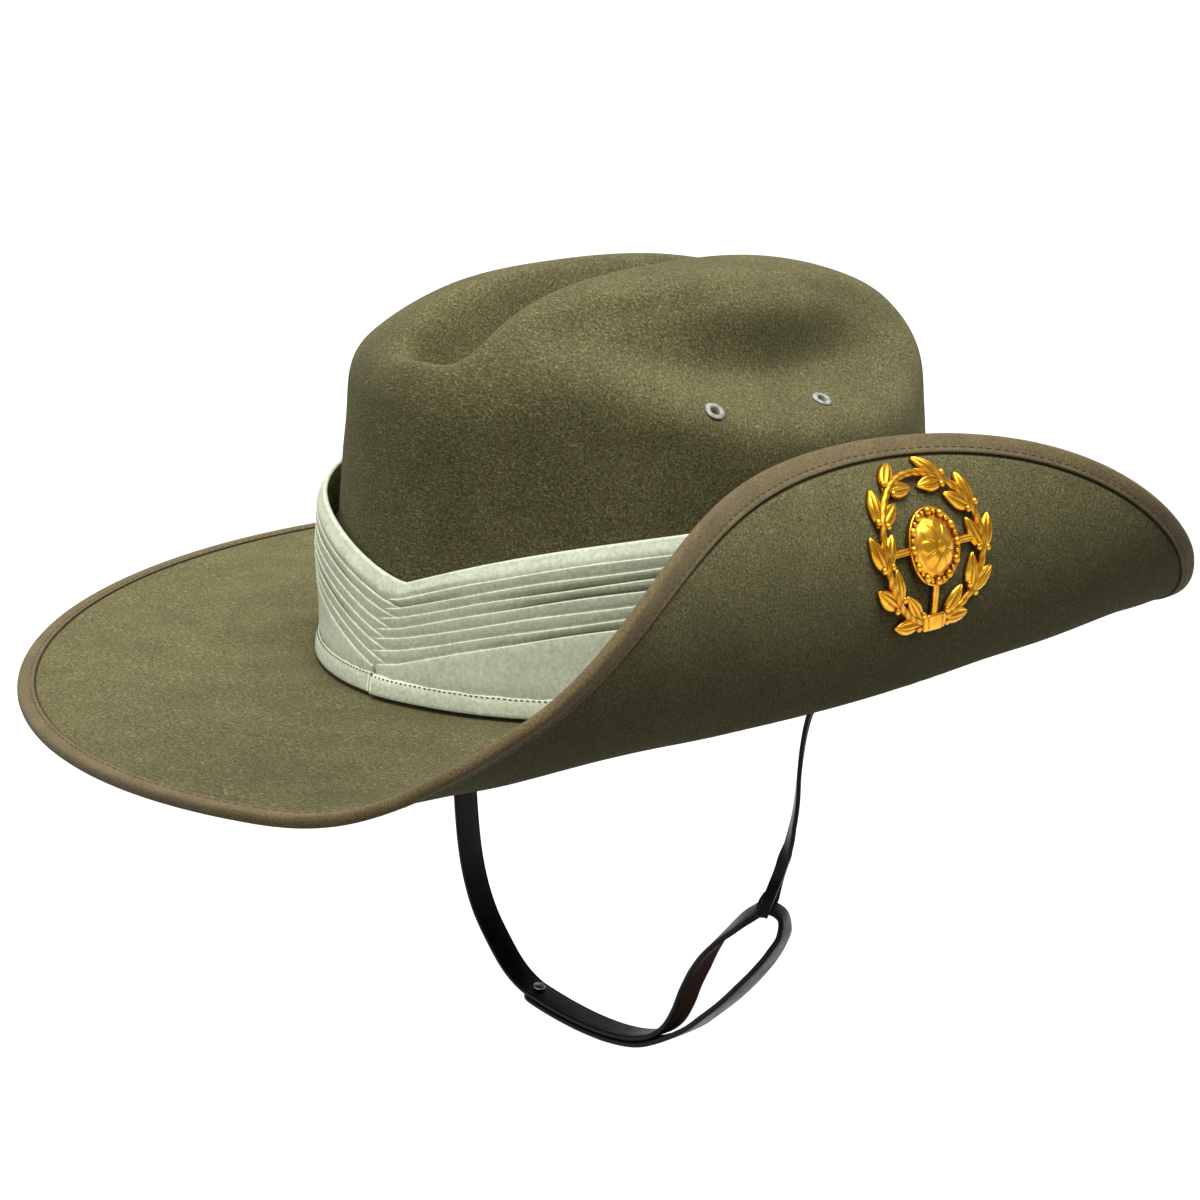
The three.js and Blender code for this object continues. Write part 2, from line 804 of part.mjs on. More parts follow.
// It then rises, turns over through the keeper and comes back down beside itself.
const loopSpots = [
  { x: 0.208, drop: 0.907 },
  { x: 0.259, drop: 0.857 },
  { x: 0.296, drop: 0.804 },
  { x: 0.342, drop: 0.75 },
  { x: 0.396, y: -0.006, drop: 0.699, yaw: 10 },
  { x: 0.469, y: -0.017, drop: 0.647, yaw: 25 },
  { x: 0.544, y: -0.023, drop: 0.604, yaw: 38 },
  { x: 0.613, y: -0.017, drop: 0.568, yaw: 44 },
  { x: 0.665, y: 0.012, drop: 0.546, yaw: 46 },
  { x: 0.713, y: 0.04, drop: 0.562, yaw: 36 },
  { x: 0.728, y: 0.035, drop: 0.598, yaw: 22 },
  { x: 0.706, y: 0.017, drop: 0.638, yaw: 12 },
  { x: 0.657, y: 0.006, drop: 0.685, yaw: 5 },
  { x: 0.579, drop: 0.742 },
  { x: 0.49, drop: 0.799 },
  { x: 0.402, drop: 0.848 },
  { x: 0.313, drop: 0.895 },
];

// The last stretch lies flat under the strap, set off by its thickness and a gap.
const layerStep = strapThickness + gap + 0.1;
const firstDoubled = 6;

function returnSpots() {
  const hanging = routeSpots(hangingSpots);
  const spots = [];
  for (let index = hanging.length - 1; index >= firstDoubled; index -= 1) {
    const before = hanging[index - 1].centre;
    const after = hanging[Math.min(index + 1, hanging.length - 1)].centre;
    const along = after.clone().sub(before).normalize();
    const down = vector(along.z, 0, -along.x);
    spots.push({ ...hanging[index], centre: hanging[index].centre.clone().addScaledVector(down, layerStep) });
  }
  return spots;
}

function longStrapStations() {
  const seat = seatHeights.map((height) => ({
    centre: wallSeat(-1, height, strapThickness),
    across: turnedAcross(0),
    width: strapWidth,
  }));
  const spots = [...seat, ...routeSpots(hangingSpots), ...routeSpots(loopSpots), ...returnSpots()];
  return smoothStations(spots);
}

const longStations = longStrapStations();

// The station where the long strap turns over, which the keeper holds.
const overSpot = 8;
const overIndex = Math.round(stationsPerSpot * (seatHeights.length + hangingSpots.length + overSpot));
const over = longStations[overIndex];
const overAlong = longStations[overIndex + 1].centre.clone()
  .sub(longStations[overIndex - 1].centre).normalize();
const overUnder = over.across.clone().cross(overAlong).normalize();
const overAcross = overAlong.clone().cross(overUnder);

// The short strap hangs from the wearer's left, turns its edge forward and ends in a keeper.
const shortSpots = [
  { x: 0.94, drop: 0.012, yaw: 10 },
  { x: 0.9, drop: 0.037, yaw: 24 },
  { x: 0.862, drop: 0.072, yaw: 34 },
  { x: 0.836, drop: 0.127, yaw: 38 },
  { x: 0.819, drop: 0.2, yaw: 41, width: 9 },
  { x: 0.81, drop: 0.271, yaw: 46, width: 7.5 },
  { x: 0.794, drop: 0.33, yaw: 50, width: 6 },
  { x: 0.772, drop: 0.385, yaw: 66, width: 4.6 },
];

// Keeper: down one side of the long strap, under it and back up to the stem. Its shoulders are
// shares of the mouth's half width and of its depth.
const keeperThroat = 1.6;
const keeperShoulder = 0.72;
const keeperBelly = 0.8;

function keeperSpots() {
  const stemFoot = routeSpots(shortSpots).at(-1).centre;
  const halfLayer = (shortStrapThickness + gap) / 2;
  const halfMouth = strapWidth / 2 + keeperRoom + shortStrapThickness / 2;
  const depth = strapThickness / 2 + keeperRoom + shortStrapThickness / 2;
  const spot = (share, reach, sink) => ({
    centre: stemFoot.clone().lerp(over.centre, share)
      .addScaledVector(overAcross, reach).addScaledVector(overUnder, sink),
    across: overAlong,
    width: keeperWidth,
  });
  return [
    spot(0.3, halfLayer, 0),
    spot(0.5, halfLayer * keeperThroat, 0),
    spot(0.78, halfMouth * keeperShoulder, 0),
    spot(1, halfMouth, 0),
    spot(1, halfMouth * keeperShoulder, depth * keeperBelly),
    spot(1, 0, depth),
    spot(1, -halfMouth * keeperShoulder, depth * keeperBelly),
    spot(1, -halfMouth, 0),
    spot(0.78, -halfMouth * keeperShoulder, 0),
    spot(0.5, -halfLayer * keeperThroat, 0),
    spot(0.3, -halfLayer, 0),
  ];
}

function shortStrapStations() {
  const seat = seatHeights.map((height) => ({
    centre: wallSeat(1, height, shortStrapThickness),
    across: turnedAcross(0),
    width: strapWidth,
  }));
  const spots = [...seat, ...routeSpots(shortSpots), ...keeperSpots()];
  return smoothStations(spots);
}

// A stud through two layers of strap: a barrel with a flat head at each end.
function studGeometry(grip, grow) {
  const half = grip / 2 + faceGap / 2 + gap / 2;
  const outer = half + studHeadThickness + grow;
  const barrel = studHole + grow;
  const head = studHead + grow;
  const profile = [
    new THREE.Vector2(0, -outer),
    new THREE.Vector2(head, -outer),
    new THREE.Vector2(head, -half + grow),
    new THREE.Vector2(barrel, -half + grow),
    new THREE.Vector2(barrel, half - grow),
    new THREE.Vector2(head, half - grow),
    new THREE.Vector2(head, outer),
    new THREE.Vector2(0, outer),
  ];
  return new THREE.LatheGeometry(profile, 8).rotateX(Math.PI / 2);
}

const studGrip = strapThickness + layerStep;

function studFrame() {
  const last = longStations.length - 1;
  const end = longStations[last].centre;
  const inner = longStations[last - 3].centre;
  const along = inner.clone().sub(end).normalize();
  const outward = vector(along.z, 0, -along.x);
  const lower = end.clone().addScaledVector(along, studFromEnd);
  const middle = lower.addScaledVector(outward, -layerStep / 2);
  return frameAt(middle, outward, vector(0, 1, 0));
}

function felt(name, geometry, colour, roughness) {
  const material = new THREE.MeshStandardMaterial({ color: colour, roughness, metalness: 0 });
  const mesh = new THREE.Mesh(geometry, material);
  mesh.name = name;
  return mesh;
}

function metal(name, geometry, colour, roughness) {
  const material = new THREE.MeshStandardMaterial({ color: colour, roughness, metalness: 1 });
  const mesh = new THREE.Mesh(geometry, material);
  mesh.name = name;
  return mesh;
}

const hat = new THREE.Group();
hat.add(felt('felt_body', feltGeometry(), '#75714f', 0.95));
hat.add(felt('brim_binding', bindingGeometry(), '#7f7858', 0.85));
hat.add(felt('puggaree', bandGeometry(), '#b0b595', 0.9));
for (const site of eyeletSites) {
  hat.add(place(metal(site.name, eyeletGeometry(0), '#b9b9b0', 0.4), site.frame));
}
hat.add(place(metal('badge', badgeGeometry(), '#ce921e', 0.3), badgeFrame));
hat.add(place(metal('badge_pin', pinGeometry(pinRadius, pinLength), '#c9a04a', 0.4), badgeFrame));
hat.add(metal('brim_clasp', claspGeometry(), '#9a9a94', 0.45));
const stud = studFrame();
const studSeat = toSolid(new THREE.CylinderGeometry(studHole + gap, studHole + gap, 4 * studGrip, 10)
  .rotateX(Math.PI / 2).applyMatrix4(stud));
const longStrap = toSolid(strapGeometry(longStations, strapThickness)).subtract(studSeat);
hat.add(felt('chin_strap_long', toGeometry(longStrap), '#0c0b0b', 0.4));
hat.add(felt('chin_strap_short', strapGeometry(shortStrapStations(), shortStrapThickness), '#0c0b0b', 0.4));
hat.add(place(metal('strap_stud', studGeometry(studGrip, 0), '#8c8c88', 0.35), stud));

export default hat;
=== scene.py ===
import math

import bmesh
import bpy
import numpy as np
from mathutils import Matrix, Vector


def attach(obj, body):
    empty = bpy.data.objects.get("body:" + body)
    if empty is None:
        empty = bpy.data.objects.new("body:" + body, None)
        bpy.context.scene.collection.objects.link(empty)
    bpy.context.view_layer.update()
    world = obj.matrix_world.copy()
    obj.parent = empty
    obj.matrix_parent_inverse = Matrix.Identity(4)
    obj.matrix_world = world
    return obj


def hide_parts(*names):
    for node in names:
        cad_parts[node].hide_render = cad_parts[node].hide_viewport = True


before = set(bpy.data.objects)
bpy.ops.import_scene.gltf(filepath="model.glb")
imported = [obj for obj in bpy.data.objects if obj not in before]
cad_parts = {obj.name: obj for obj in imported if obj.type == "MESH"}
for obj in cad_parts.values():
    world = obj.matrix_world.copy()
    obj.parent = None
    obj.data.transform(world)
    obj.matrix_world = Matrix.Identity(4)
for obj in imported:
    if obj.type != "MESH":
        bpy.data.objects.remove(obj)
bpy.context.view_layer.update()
scene = bpy.context.scene

# Camera
# It stands ahead of the hat and to its wearer's left, a little above the brim, with a long
# lens. The small shift and roll are those of the photograph's framing.
view_azimuth = math.radians(46.1)
view_elevation = math.radians(15.6)
view_roll = math.radians(0.4)
view_distance = 0.995
frame_pixels = 1200
focal_pixels = 3193
middle_right, middle_down = 36.5, 33.2

towards_camera = Vector(
    (
        math.sin(view_azimuth) * math.cos(view_elevation),
        -math.cos(view_azimuth) * math.cos(view_elevation),
        math.sin(view_elevation),
    )
)
level_right = Vector((math.cos(view_azimuth), math.sin(view_azimuth), 0))
level_up = towards_camera.cross(level_right)
camera_right = level_right * math.cos(view_roll) + level_up * math.sin(view_roll)
camera_up = level_up * math.cos(view_roll) - level_right * math.sin(view_roll)
lens = bpy.data.cameras.new("view")
lens.sensor_width = 36
lens.lens = lens.sensor_width * focal_pixels / frame_pixels
lens.shift_x = -middle_right / frame_pixels
lens.shift_y = middle_down / frame_pixels
camera = bpy.data.objects.new("view", lens)
turned = Matrix((camera_right, camera_up, towards_camera)).transposed().to_4x4()
camera.matrix_world = Matrix.Translation(towards_camera * view_distance) @ turned
scene.collection.objects.link(camera)
scene.camera = camera

# Felt crown and brim
# One hood of wool felt, blocked over a form, with a crease along its top, a dent pressed in
# each side and its left brim turned up. Sizes are in millimetres, as in the next sections.
MM = 0.001
opening_length, opening_width, felt_wall = 196, 168, 2.4
half_length = opening_length / 2 + felt_wall
half_width = opening_width / 2 + felt_wall
front_lean, back_lean, side_lean, lean_height = 10, 11, 5.2, 100
shoulder, crown_top, cap_power = 80, 118.5, 2.5
side_tilt, fore_tilt = 0.1, -0.026
crease_depth, crease_half_width, crease_power = 24, 12, 2.7
crease_front, crease_run_in, crease_back, crease_fade = 12.5, 13, 10, 40
dent_depth, dent_middle, dent_below_top = 22, 2, 27
left_dent_front, left_dent_rise, right_dent_front, right_dent_rise = 76, 17, 40, 4
dent_front_power, dent_back, dent_back_power, dent_back_rise = 2, 56, 3, 6
dent_shelf_height, dent_upper_height = 9, 18
ridge_half_width, ridge_blend, ridge_narrowing = 33, 28, 12
brim_front, brim_back, brim_right, brim_left = 95.3, 85.2, 89.8, 89
front_droop, back_droop, brim_rise, settle_share = 6, 7.6, 1.7, 0.35
bend_turn, bend_arc, bend_arc_ends, bend_moves_in, bend_reach = 52.8, 14.3, 76.8, 40.9, 162
flap_stand_off, base_fillet, edge_inset, binding_width = 3.8, 3, 1.4, 5.2
felt_columns = 360
pinch_spot = (46, -20)
darker_spot = (0.035, -0.165, 0)


def smooth(value, low, high):
    share = np.clip((value - low) / (high - low), 0, 1)
    return share * share * (3 - 2 * share)


def spots(x, y, z):
    return np.stack(np.broadcast_arrays(x, y, z), axis=-1).astype(float)


def unit(vectors):
    return vectors / np.linalg.norm(vectors, axis=-1, keepdims=True)


def cap_level(spread):
    lift = (1 - spread**cap_power) ** (1 / cap_power)
    return shoulder + (crown_top - shoulder) * lift


def crown_point(angle, level, spread=1.0):
    """A point outside the crown; spread falls from 1 at the shoulder to 0 at the top."""
    lean = np.minimum(level, 1.1 * lean_height) / lean_height
    end_lean = np.where(np.cos(angle) > 0, front_lean, back_lean)
    y = -spread * (half_length - end_lean * lean) * np.cos(angle)
    plain_x = spread * (half_width - side_lean * lean) * np.sin(angle)
    side = np.sign(plain_x)
    forward, backward = np.maximum(dent_middle - y, 0), np.maximum(y - dent_middle, 0)
    dent_front = np.where(side > 0, left_dent_front, right_dent_front)
    front_rise = np.where(side > 0, left_dent_rise, right_dent_rise)
    front_end = (forward / dent_front) ** dent_front_power
    back_end = (backward / dent_back) ** dent_back_power
    dent_rise = front_rise * front_end + dent_back_rise * back_end
    above = level - crown_top + dent_below_top - dent_rise
    dent_height = np.where(above < 0, dent_shelf_height, dent_upper_height)
    dent_along = np.exp(-front_end - back_end)
    dent_up = np.exp(-((above / dent_height) ** 2))
    ridge = ridge_half_width - ridge_narrowing * smooth(forward, 20, 75)
    dent_out = smooth(side * plain_x, ridge, ridge + ridge_blend)
    x = plain_x - side * dent_depth * dent_along * dent_up * dent_out
    crease_across = np.exp(-(np.abs(x / crease_half_width) ** crease_power))
    start = crease_front - half_length
    end = half_length - crease_back
    crease_along = smooth(y, start, start + crease_run_in) * (
        1 - smooth(y, end - crease_fade, end)
    )
    on_top = smooth(level, shoulder, crown_top)
    z = level - crease_depth * crease_across * crease_along
    z = z + (side_tilt * x + fore_tilt * y) * on_top
    return spots(x, y, z)


def bend_up(x, y, z, curl):
    """Turns the left side of the flat brim up, on an arc that opens towards its ends."""
    to_end = np.clip(np.abs(y) / bend_reach, 0, 1) ** 2
    arc = bend_arc + (bend_arc_ends - bend_arc) * to_end
    start = half_width - bend_moves_in * to_end
    bent_x, bent_z = np.minimum(x, start), z + 0 * x
    steps = 24
    step = np.maximum(0, x - start) / steps
    for index in range(steps):
        along = (index + 0.5) * step
        slope = np.radians(
            bend_turn * smooth(along, 0, arc) + curl * np.maximum(0, along - arc)
        )
        bent_x = bent_x + step * np.cos(slope)
        bent_z = bent_z + step * np.sin(slope)
    return spots(bent_x, y, bent_z)


def sheet_point(x, y, settled, curl):
    reach = half_length + np.where(y < 0, brim_front, brim_back)
    droop = np.where(y < 0, front_droop, back_droop) * (y / reach) ** 2
    return bend_up(x, y, (brim_rise - droop) * settled, curl)


def brim_point(angle, share, curl=None):
    """A point on the brim's upper face, from 0 at the crown's foot to 1 at its edge."""
    sideways, forwards = np.sin(angle), np.cos(angle)
    reach_x = half_width + np.where(sideways > 0, brim_left, brim_right) - edge_inset
    reach_y = half_length + np.where(forwards > 0, brim_front, brim_back) - edge_inset
    x = (half_width + (reach_x - half_width) * share) * sideways
    y = -(half_length + (reach_y - half_length) * share) * forwards
    curl = flap_curl if curl is None else curl
    return sheet_point(x, y, smooth(share, 0, settle_share), curl)


def solve_flap_curl():
    """The flap curls just enough to hold its edge the stand-off away from the crown."""
    low, high = 0.0, 3.0
    for _ in range(40):
        middle = (low + high) / 2
        edge = brim_point(math.pi / 2, 1.0, middle)
        room = edge[0] - crown_point(math.pi / 2, edge[2])[0]
        low, high = (middle, high) if room > flap_stand_off else (low, middle)
    return low


flap_curl = solve_flap_curl()


def brim_width(angle):
    flat = brim_point(angle, 1.0, 0.0)[..., :2] - brim_point(angle, 0.0, 0.0)[..., :2]
    return np.linalg.norm(flat, axis=-1)


def run_lengths(points):
    """The length from the first point of a row to each point."""
    return np.concatenate(([0], np.cumsum(np.linalg.norm(np.diff(points, axis=0), axis=1))))


def even_shares(points, step):
    """Shares along a row of points, spaced evenly by length."""
    reached = run_lengths(points)
    wanted = np.linspace(0, reached[-1], max(2, round(reached[-1] / step) + 1))
    return np.interp(wanted, reached, np.linspace(0, 1, len(points)))


def outer_felt(angles):
    """Rows of points on the felt's outer skin, from the crown's top to the brim's edge.

    The last seven rows crowd beside the braid, where its stitches pinch the felt.
    """
    turn = np.linspace(0, math.pi / 2, 400)
    spreads = np.sin(turn) ** (2 / cap_power)
    profile = spots(spreads * half_width, 0, cap_level(spreads))
    shares = even_shares(profile, 1.3)[1:]
    rows = []
    for spread in np.interp(shares, np.linspace(0, 1, 400), spreads):
        rows.append(crown_point(angles, cap_level(spread), spread))
    for level in np.linspace(shoulder, base_fillet, 36)[1:]:
        rows.append(crown_point(angles, level))
    foot, corner = crown_point(angles, base_fillet), crown_point(angles, 0)
    fillet_share = base_fillet / 92
    start = brim_point(angles, fillet_share)
    for share in (0.2, 0.4, 0.6, 0.8, 1.0):
        first = foot + (corner - foot) * share
        second = corner + (start - corner) * share
        rows.append(first + (second - first) * share)
    braid_share = 1 - (binding_width - edge_inset + 1.2) / brim_width(angles)
    for share in np.linspace(0, 1, 44)[1:]:
        rows.append(brim_point(angles, fillet_share + (braid_share - fillet_share) * share))
    for beside in (0.75, 0.5, 0.3, 0.1, -0.2, -2, -(binding_width - edge_inset)):
        reach = edge_inset - binding_width - beside
        rows.append(brim_point(angles, 1 + reach / brim_width(angles)))
    return np.array(rows)


def grid_normals(rows, pole=None):
    """Unit normals of rows of points that go round the hat, by the rows beside each."""
    first = rows[:1] if pole is None else np.broadcast_to(pole, rows[:1].shape)
    before = np.concatenate((first, rows[:-1]))
    after = np.concatenate((rows[1:], rows[-1:]))
    around = np.roll(rows, -1, axis=1) - np.roll(rows, 1, axis=1)
    return unit(np.cross(after - before, around))


def add_mesh(name, points, faces, uvs=None):
    mesh = bpy.data.meshes.new(name)
    mesh.from_pydata((np.asarray(points) * MM).tolist(), [], faces)
    mesh.shade_smooth()
    if uvs is not None:
        layer = mesh.uv_layers.new(name="UVMap")
        layer.data.foreach_set("uv", np.asarray(uvs, np.float32).ravel())
    made = bpy.data.objects.new(name, mesh)
    scene.collection.objects.link(made)
    return made


def ring_faces(rows, columns, closed_rows=False, closed_columns=True, offset=0):
    """Quads of a grid of points, numbered row by row."""
    row_index = np.arange(rows if closed_rows else rows - 1)
    column_index = np.arange(columns if closed_columns else columns - 1)
    row_index, column_index = np.meshgrid(row_index, column_index, indexing="ij")
    next_row, next_column = (row_index + 1) % rows, (column_index + 1) % columns
    corners = [
        row_index * columns + column_index,
        next_row * columns + column_index,
        next_row * columns + next_column,
        row_index * columns + next_column,
    ]
    return (np.stack(corners, axis=-1).reshape(-1, 4) + offset).tolist()


def ring_uvs(row_marks, column_marks):
    """Corner places of those quads on the cloth; marks run one past a closed side."""
    low, left = np.meshgrid(row_marks[:-1], column_marks[:-1], indexing="ij")
    high, right = np.meshgrid(row_marks[1:], column_marks[1:], indexing="ij")
    corners = [(left, low), (left, high), (right, high), (right, low)]
    return np.stack([np.stack(c, axis=-1) for c in corners], axis=-2).reshape(-1, 2)


def finish_piece(piece, material, slot, *stands_for):
    if material is not None:
        piece.data.materials.append(material)
    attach(piece, "root")
    if stands_for:
        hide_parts(*stands_for)


def colour(red, green, blue):
    """A colour as it looks on a screen, for a shader."""
    channels = [
        c / 12.92 if c <= 0.04045 else ((c + 0.055) / 1.055) ** 2.4
        for c in (red / 255, green / 255, blue / 255)
    ]
    return (*channels, 1)


def add_node(tree, kind, settings=None, **values):
    """A shader node; a value is a constant or the socket that feeds it."""
    made = tree.nodes.new(kind)
    for name, value in (settings or {}).items():
        setattr(made, name, value)
    for name, value in values.items():
        numbered = name[:2] == "in" and name[2:].isdigit()
        socket = made.inputs[int(name[2:]) if numbered else name.replace("_", " ")]
        if isinstance(value, bpy.types.NodeSocket):
            tree.links.new(value, socket)
        else:
            socket.default_value = value
    return made


def ramp(tree, value, *stops):
    """A colour ramp through stops of (place, colour)."""
    made = tree.nodes.new("ShaderNodeValToRGB")
    tree.links.new(value, made.inputs["Fac"])
    stop_list = made.color_ramp.elements
    while len(stop_list) < len(stops):
        stop_list.new(0.5)
    for element, (place, shade) in zip(stop_list, stops):
        element.position, element.color = place, shade
    return made.outputs["Color"]


def mixed(tree, share, first, second, blend="MIX"):
    made = tree.nodes.new("ShaderNodeMix")
    made.data_type, made.blend_type = "RGBA", blend
    for index, value in ((0, share), (6, first), (7, second)):
        if isinstance(value, bpy.types.NodeSocket):
            tree.links.new(value, made.inputs[index])
        else:
            made.inputs[index].default_value = value
    return made.outputs[2]


def computed(tree, operation, *values):
    settings = {"operation": operation}
    numbered = {f"in{index}": value for index, value in enumerate(values)}
    return add_node(tree, "ShaderNodeMath", settings, **numbered).outputs[0]


def new_material(name):
    material = bpy.data.materials.new(name)
    material.use_nodes = True
    return material, material.node_tree, material.node_tree.nodes["Principled BSDF"]


def black_and_white(level):
    return (level, level, level, 1)


def felt_material():
    material, tree, shader = new_material("wool felt")
    place = add_node(tree, "ShaderNodeTexCoord").outputs["Object"]
    noise = "ShaderNodeTexNoise"
    nap = add_node(tree, noise, Vector=place, Scale=1300, Detail=5, Roughness=0.75).outputs["Fac"]
    combed = add_node(tree, "ShaderNodeMapping", Vector=place, Scale=(0.3, 1.0, 1.0))
    fibre = add_node(tree, noise, Vector=combed.outputs[0], Scale=1900, Detail=2).outputs["Fac"]
    cloud = add_node(tree, noise, Vector=place, Scale=60, Detail=4).outputs["Fac"]
    brown = add_node(tree, noise, Vector=place, Scale=850, Detail=3, Distortion=0.6).outputs["Fac"]
    base = ramp(
        tree, nap, (0.3, colour(41, 39, 22)), (0.5, colour(85, 82, 51)), (0.7, colour(130, 127, 86))
    )
    browner = ramp(tree, brown, (0.5, black_and_white(0)), (0.68, black_and_white(0.6)))
    base = mixed(tree, browner, base, colour(96, 78, 48))
    pale = ramp(tree, fibre, (0.58, black_and_white(0)), (0.7, black_and_white(0.55)))
    base = mixed(tree, pale, base, colour(148, 144, 106))
    shade = ramp(tree, cloud, (0.3, black_and_white(0.84)), (0.7, black_and_white(1.1)))
    base = mixed(tree, 1.0, base, shade, "MULTIPLY")
    # A darker patch on the front of the brim: the felt is darkened to two thirds at the spot, fading
    # out over 110 mm.
    to_darker_spot = add_node(
        tree, "ShaderNodeVectorMath", {"operation": "DISTANCE"}, in0=place, in1=darker_spot
    )
    darker_patch = ramp(
        tree, to_darker_spot.outputs["Value"], (0.0, black_and_white(0.66)), (0.11, black_and_white(1))
    )
    base = mixed(tree, 1.0, base, darker_patch, "MULTIPLY")
    # Painted shadow: the felt turns near black along the braid's inner edge, as the shadow that edge
    # throws.
    beside = add_node(tree, "ShaderNodeAttribute", {"attribute_name": "painted braid shadow"})
    base = mixed(tree, beside.outputs["Fac"], base, colour(34, 28, 16))
    tree.links.new(base, shader.inputs["Base Color"])
    height = computed(tree, "ADD", nap, fibre)
    bump = add_node(tree, "ShaderNodeBump", Strength=0.6, Distance=0.0005, Height=height)
    tree.links.new(bump.outputs["Normal"], shader.inputs["Normal"])
    shader.inputs["Roughness"].default_value = 0.95
    shader.inputs["Specular IOR Level"].default_value = 0.2
    shader.inputs["Sheen Weight"].default_value = 0.12
    shader.inputs["Sheen Roughness"].default_value = 0.5
    shader.inputs["Sheen Tint"].default_value = colour(190, 188, 150)
    return material


def hand_blocked(points):
    """How far the steamed felt swells or sinks from its form, where nothing is sewn to it."""
    x, y, z = points[..., 0], points[..., 1], points[..., 2]
    swell = np.sin(x / 13 + 1.3) * np.sin(y / 17 + 0.4)
    swell = swell + 0.7 * np.sin((x + z) / 9.5 + 2.0) * np.sin((y - z) / 12 + 0.6)
    flat_reach = np.hypot(x / half_width, y / half_length)
    crown_part = smooth(z, 60, 72) * (flat_reach < 1.02)
    brim_part = smooth(flat_reach, 1.12, 1.25) * (1 - smooth(flat_reach, 1.6, 1.75)) * (z < 20)
    across = (x - pinch_spot[0]) * 0.6 + (y - pinch_spot[1]) * 0.8
    along = (y - pinch_spot[1]) * 0.6 - (x - pinch_spot[0]) * 0.8
    near = np.exp(-((along / 2.6) ** 2)) * (z > 90)
    pinch = 0.55 * np.exp(-(((across + 1.2) / 1.1) ** 2)) - 0.9 * np.exp(-((across / 0.9) ** 2))
    return 0.32 * swell * (crown_part + brim_part) + pinch * near


def felt_piece():
    angles = np.linspace(0, 2 * math.pi, felt_columns, endpoint=False)
    outer = outer_felt(angles)
    pole = crown_point(0, crown_top, 0.0)
    normals = grid_normals(outer, pole)
    outer = outer + normals * hand_blocked(outer)[..., None]
    pole = pole + (0, 0, hand_blocked(pole))
    inner = outer - felt_wall * normals
    pinched = np.zeros((len(outer), 1, 1))
    pinched[-7:, 0, 0] = (0, 0.6, 1, 0.8, 0, 0, 0)
    outer, inner = outer - 0.35 * pinched * normals, inner + 0.35 * pinched * normals
    rows = np.concatenate((outer, inner[::-1]))
    points = rows.reshape(-1, 3)
    faces = ring_faces(len(rows), felt_columns)
    start, last = len(points), (len(rows) - 1) * felt_columns
    poles = np.array([pole, pole - (0, 0, felt_wall)])
    for column in range(felt_columns):
        following = (column + 1) % felt_columns
        faces.append((start, column, following))
        faces.append((last + column, start + 1, last + following))
    hood = add_mesh("felt_hood", np.concatenate((points, poles)), faces)
    # Painted shadow: the rows pinched beside the braid's inner edge carry a mark that darkens the
    # felt there, on both faces.
    beside = np.repeat(np.concatenate((pinched, pinched[::-1])).ravel(), felt_columns)
    mark = hood.data.attributes.new("painted braid shadow", "FLOAT", "POINT")
    mark.data.foreach_set("value", np.concatenate((beside, (0, 0))).astype(np.float32))
    return hood


felt = felt_piece()
finish_piece(felt, felt_material(), "felt", "felt_body")

# Eyelets
# Four small painted metal eyelets let air in, two in the dent on each side of the crown.
# Each is a rolled tube whose flanges clamp the felt inside and out.
eyelet_hole, eyelet_barrel, eyelet_flange, eyelet_lip = 1.4, 1.9, 3.2, 0.6
eyelet_spots = {"front": (66, 0.06), "back": (93.5, 0.036)}
sides = {"left": 1, "right": -1}


def lathe(profile, turned_steps):
    """Turns a closed profile of (radius, height) about the Z axis."""
    turn = np.linspace(0, 2 * math.pi, turned_steps, endpoint=False)
    radius = np.array([point[0] for point in profile])[:, None]
    height = np.array([point[1] for point in profile])[:, None]
    points = spots(radius * np.cos(turn), radius * np.sin(turn), height)
    faces = ring_faces(len(profile), turned_steps, closed_rows=True)
    return points.reshape(-1, 3), faces


def mend_mesh(mesh, merge=0.000002):
    """Joins points that fall together and turns every face outwards."""
    work = bmesh.new()
    work.from_mesh(mesh)
    bmesh.ops.remove_doubles(work, verts=work.verts, dist=merge)
    bmesh.ops.dissolve_degenerate(work, edges=work.edges, dist=merge)
    bmesh.ops.recalc_face_normals(work, faces=work.faces)
    work.to_mesh(mesh)
    work.free()
    mesh.shade_smooth()


def crown_frame(angle, turn):
    """Matrix at a spot of the crown: its third axis points straight out of the felt."""

    def at(around, rising):
        spread = math.cos(rising) ** (2 / cap_power)
        return crown_point(around, cap_level(spread), spread)

    step = 0.01
    around = at(angle + step, turn) - at(angle - step, turn)
    rising = at(angle, turn + step) - at(angle, turn - step)
    out = unit(np.cross(around, rising))
    first = unit(around)
    return np.array([first, np.cross(out, first), out]), at(angle, turn)


def painted_metal():
    material, tree, shader = new_material("painted eyelet metal")
    place = add_node(tree, "ShaderNodeTexCoord").outputs["Object"]
    noise = add_node(tree, "ShaderNodeTexNoise", Vector=place, Scale=700, Detail=3)
    tone = ramp(
        tree, noise.outputs["Fac"], (0.35, colour(112, 114, 100)), (0.65, colour(160, 162, 148))
    )
    tree.links.new(tone, shader.inputs["Base Color"])
    shader.inputs["Roughness"].default_value = 0.5
    return material


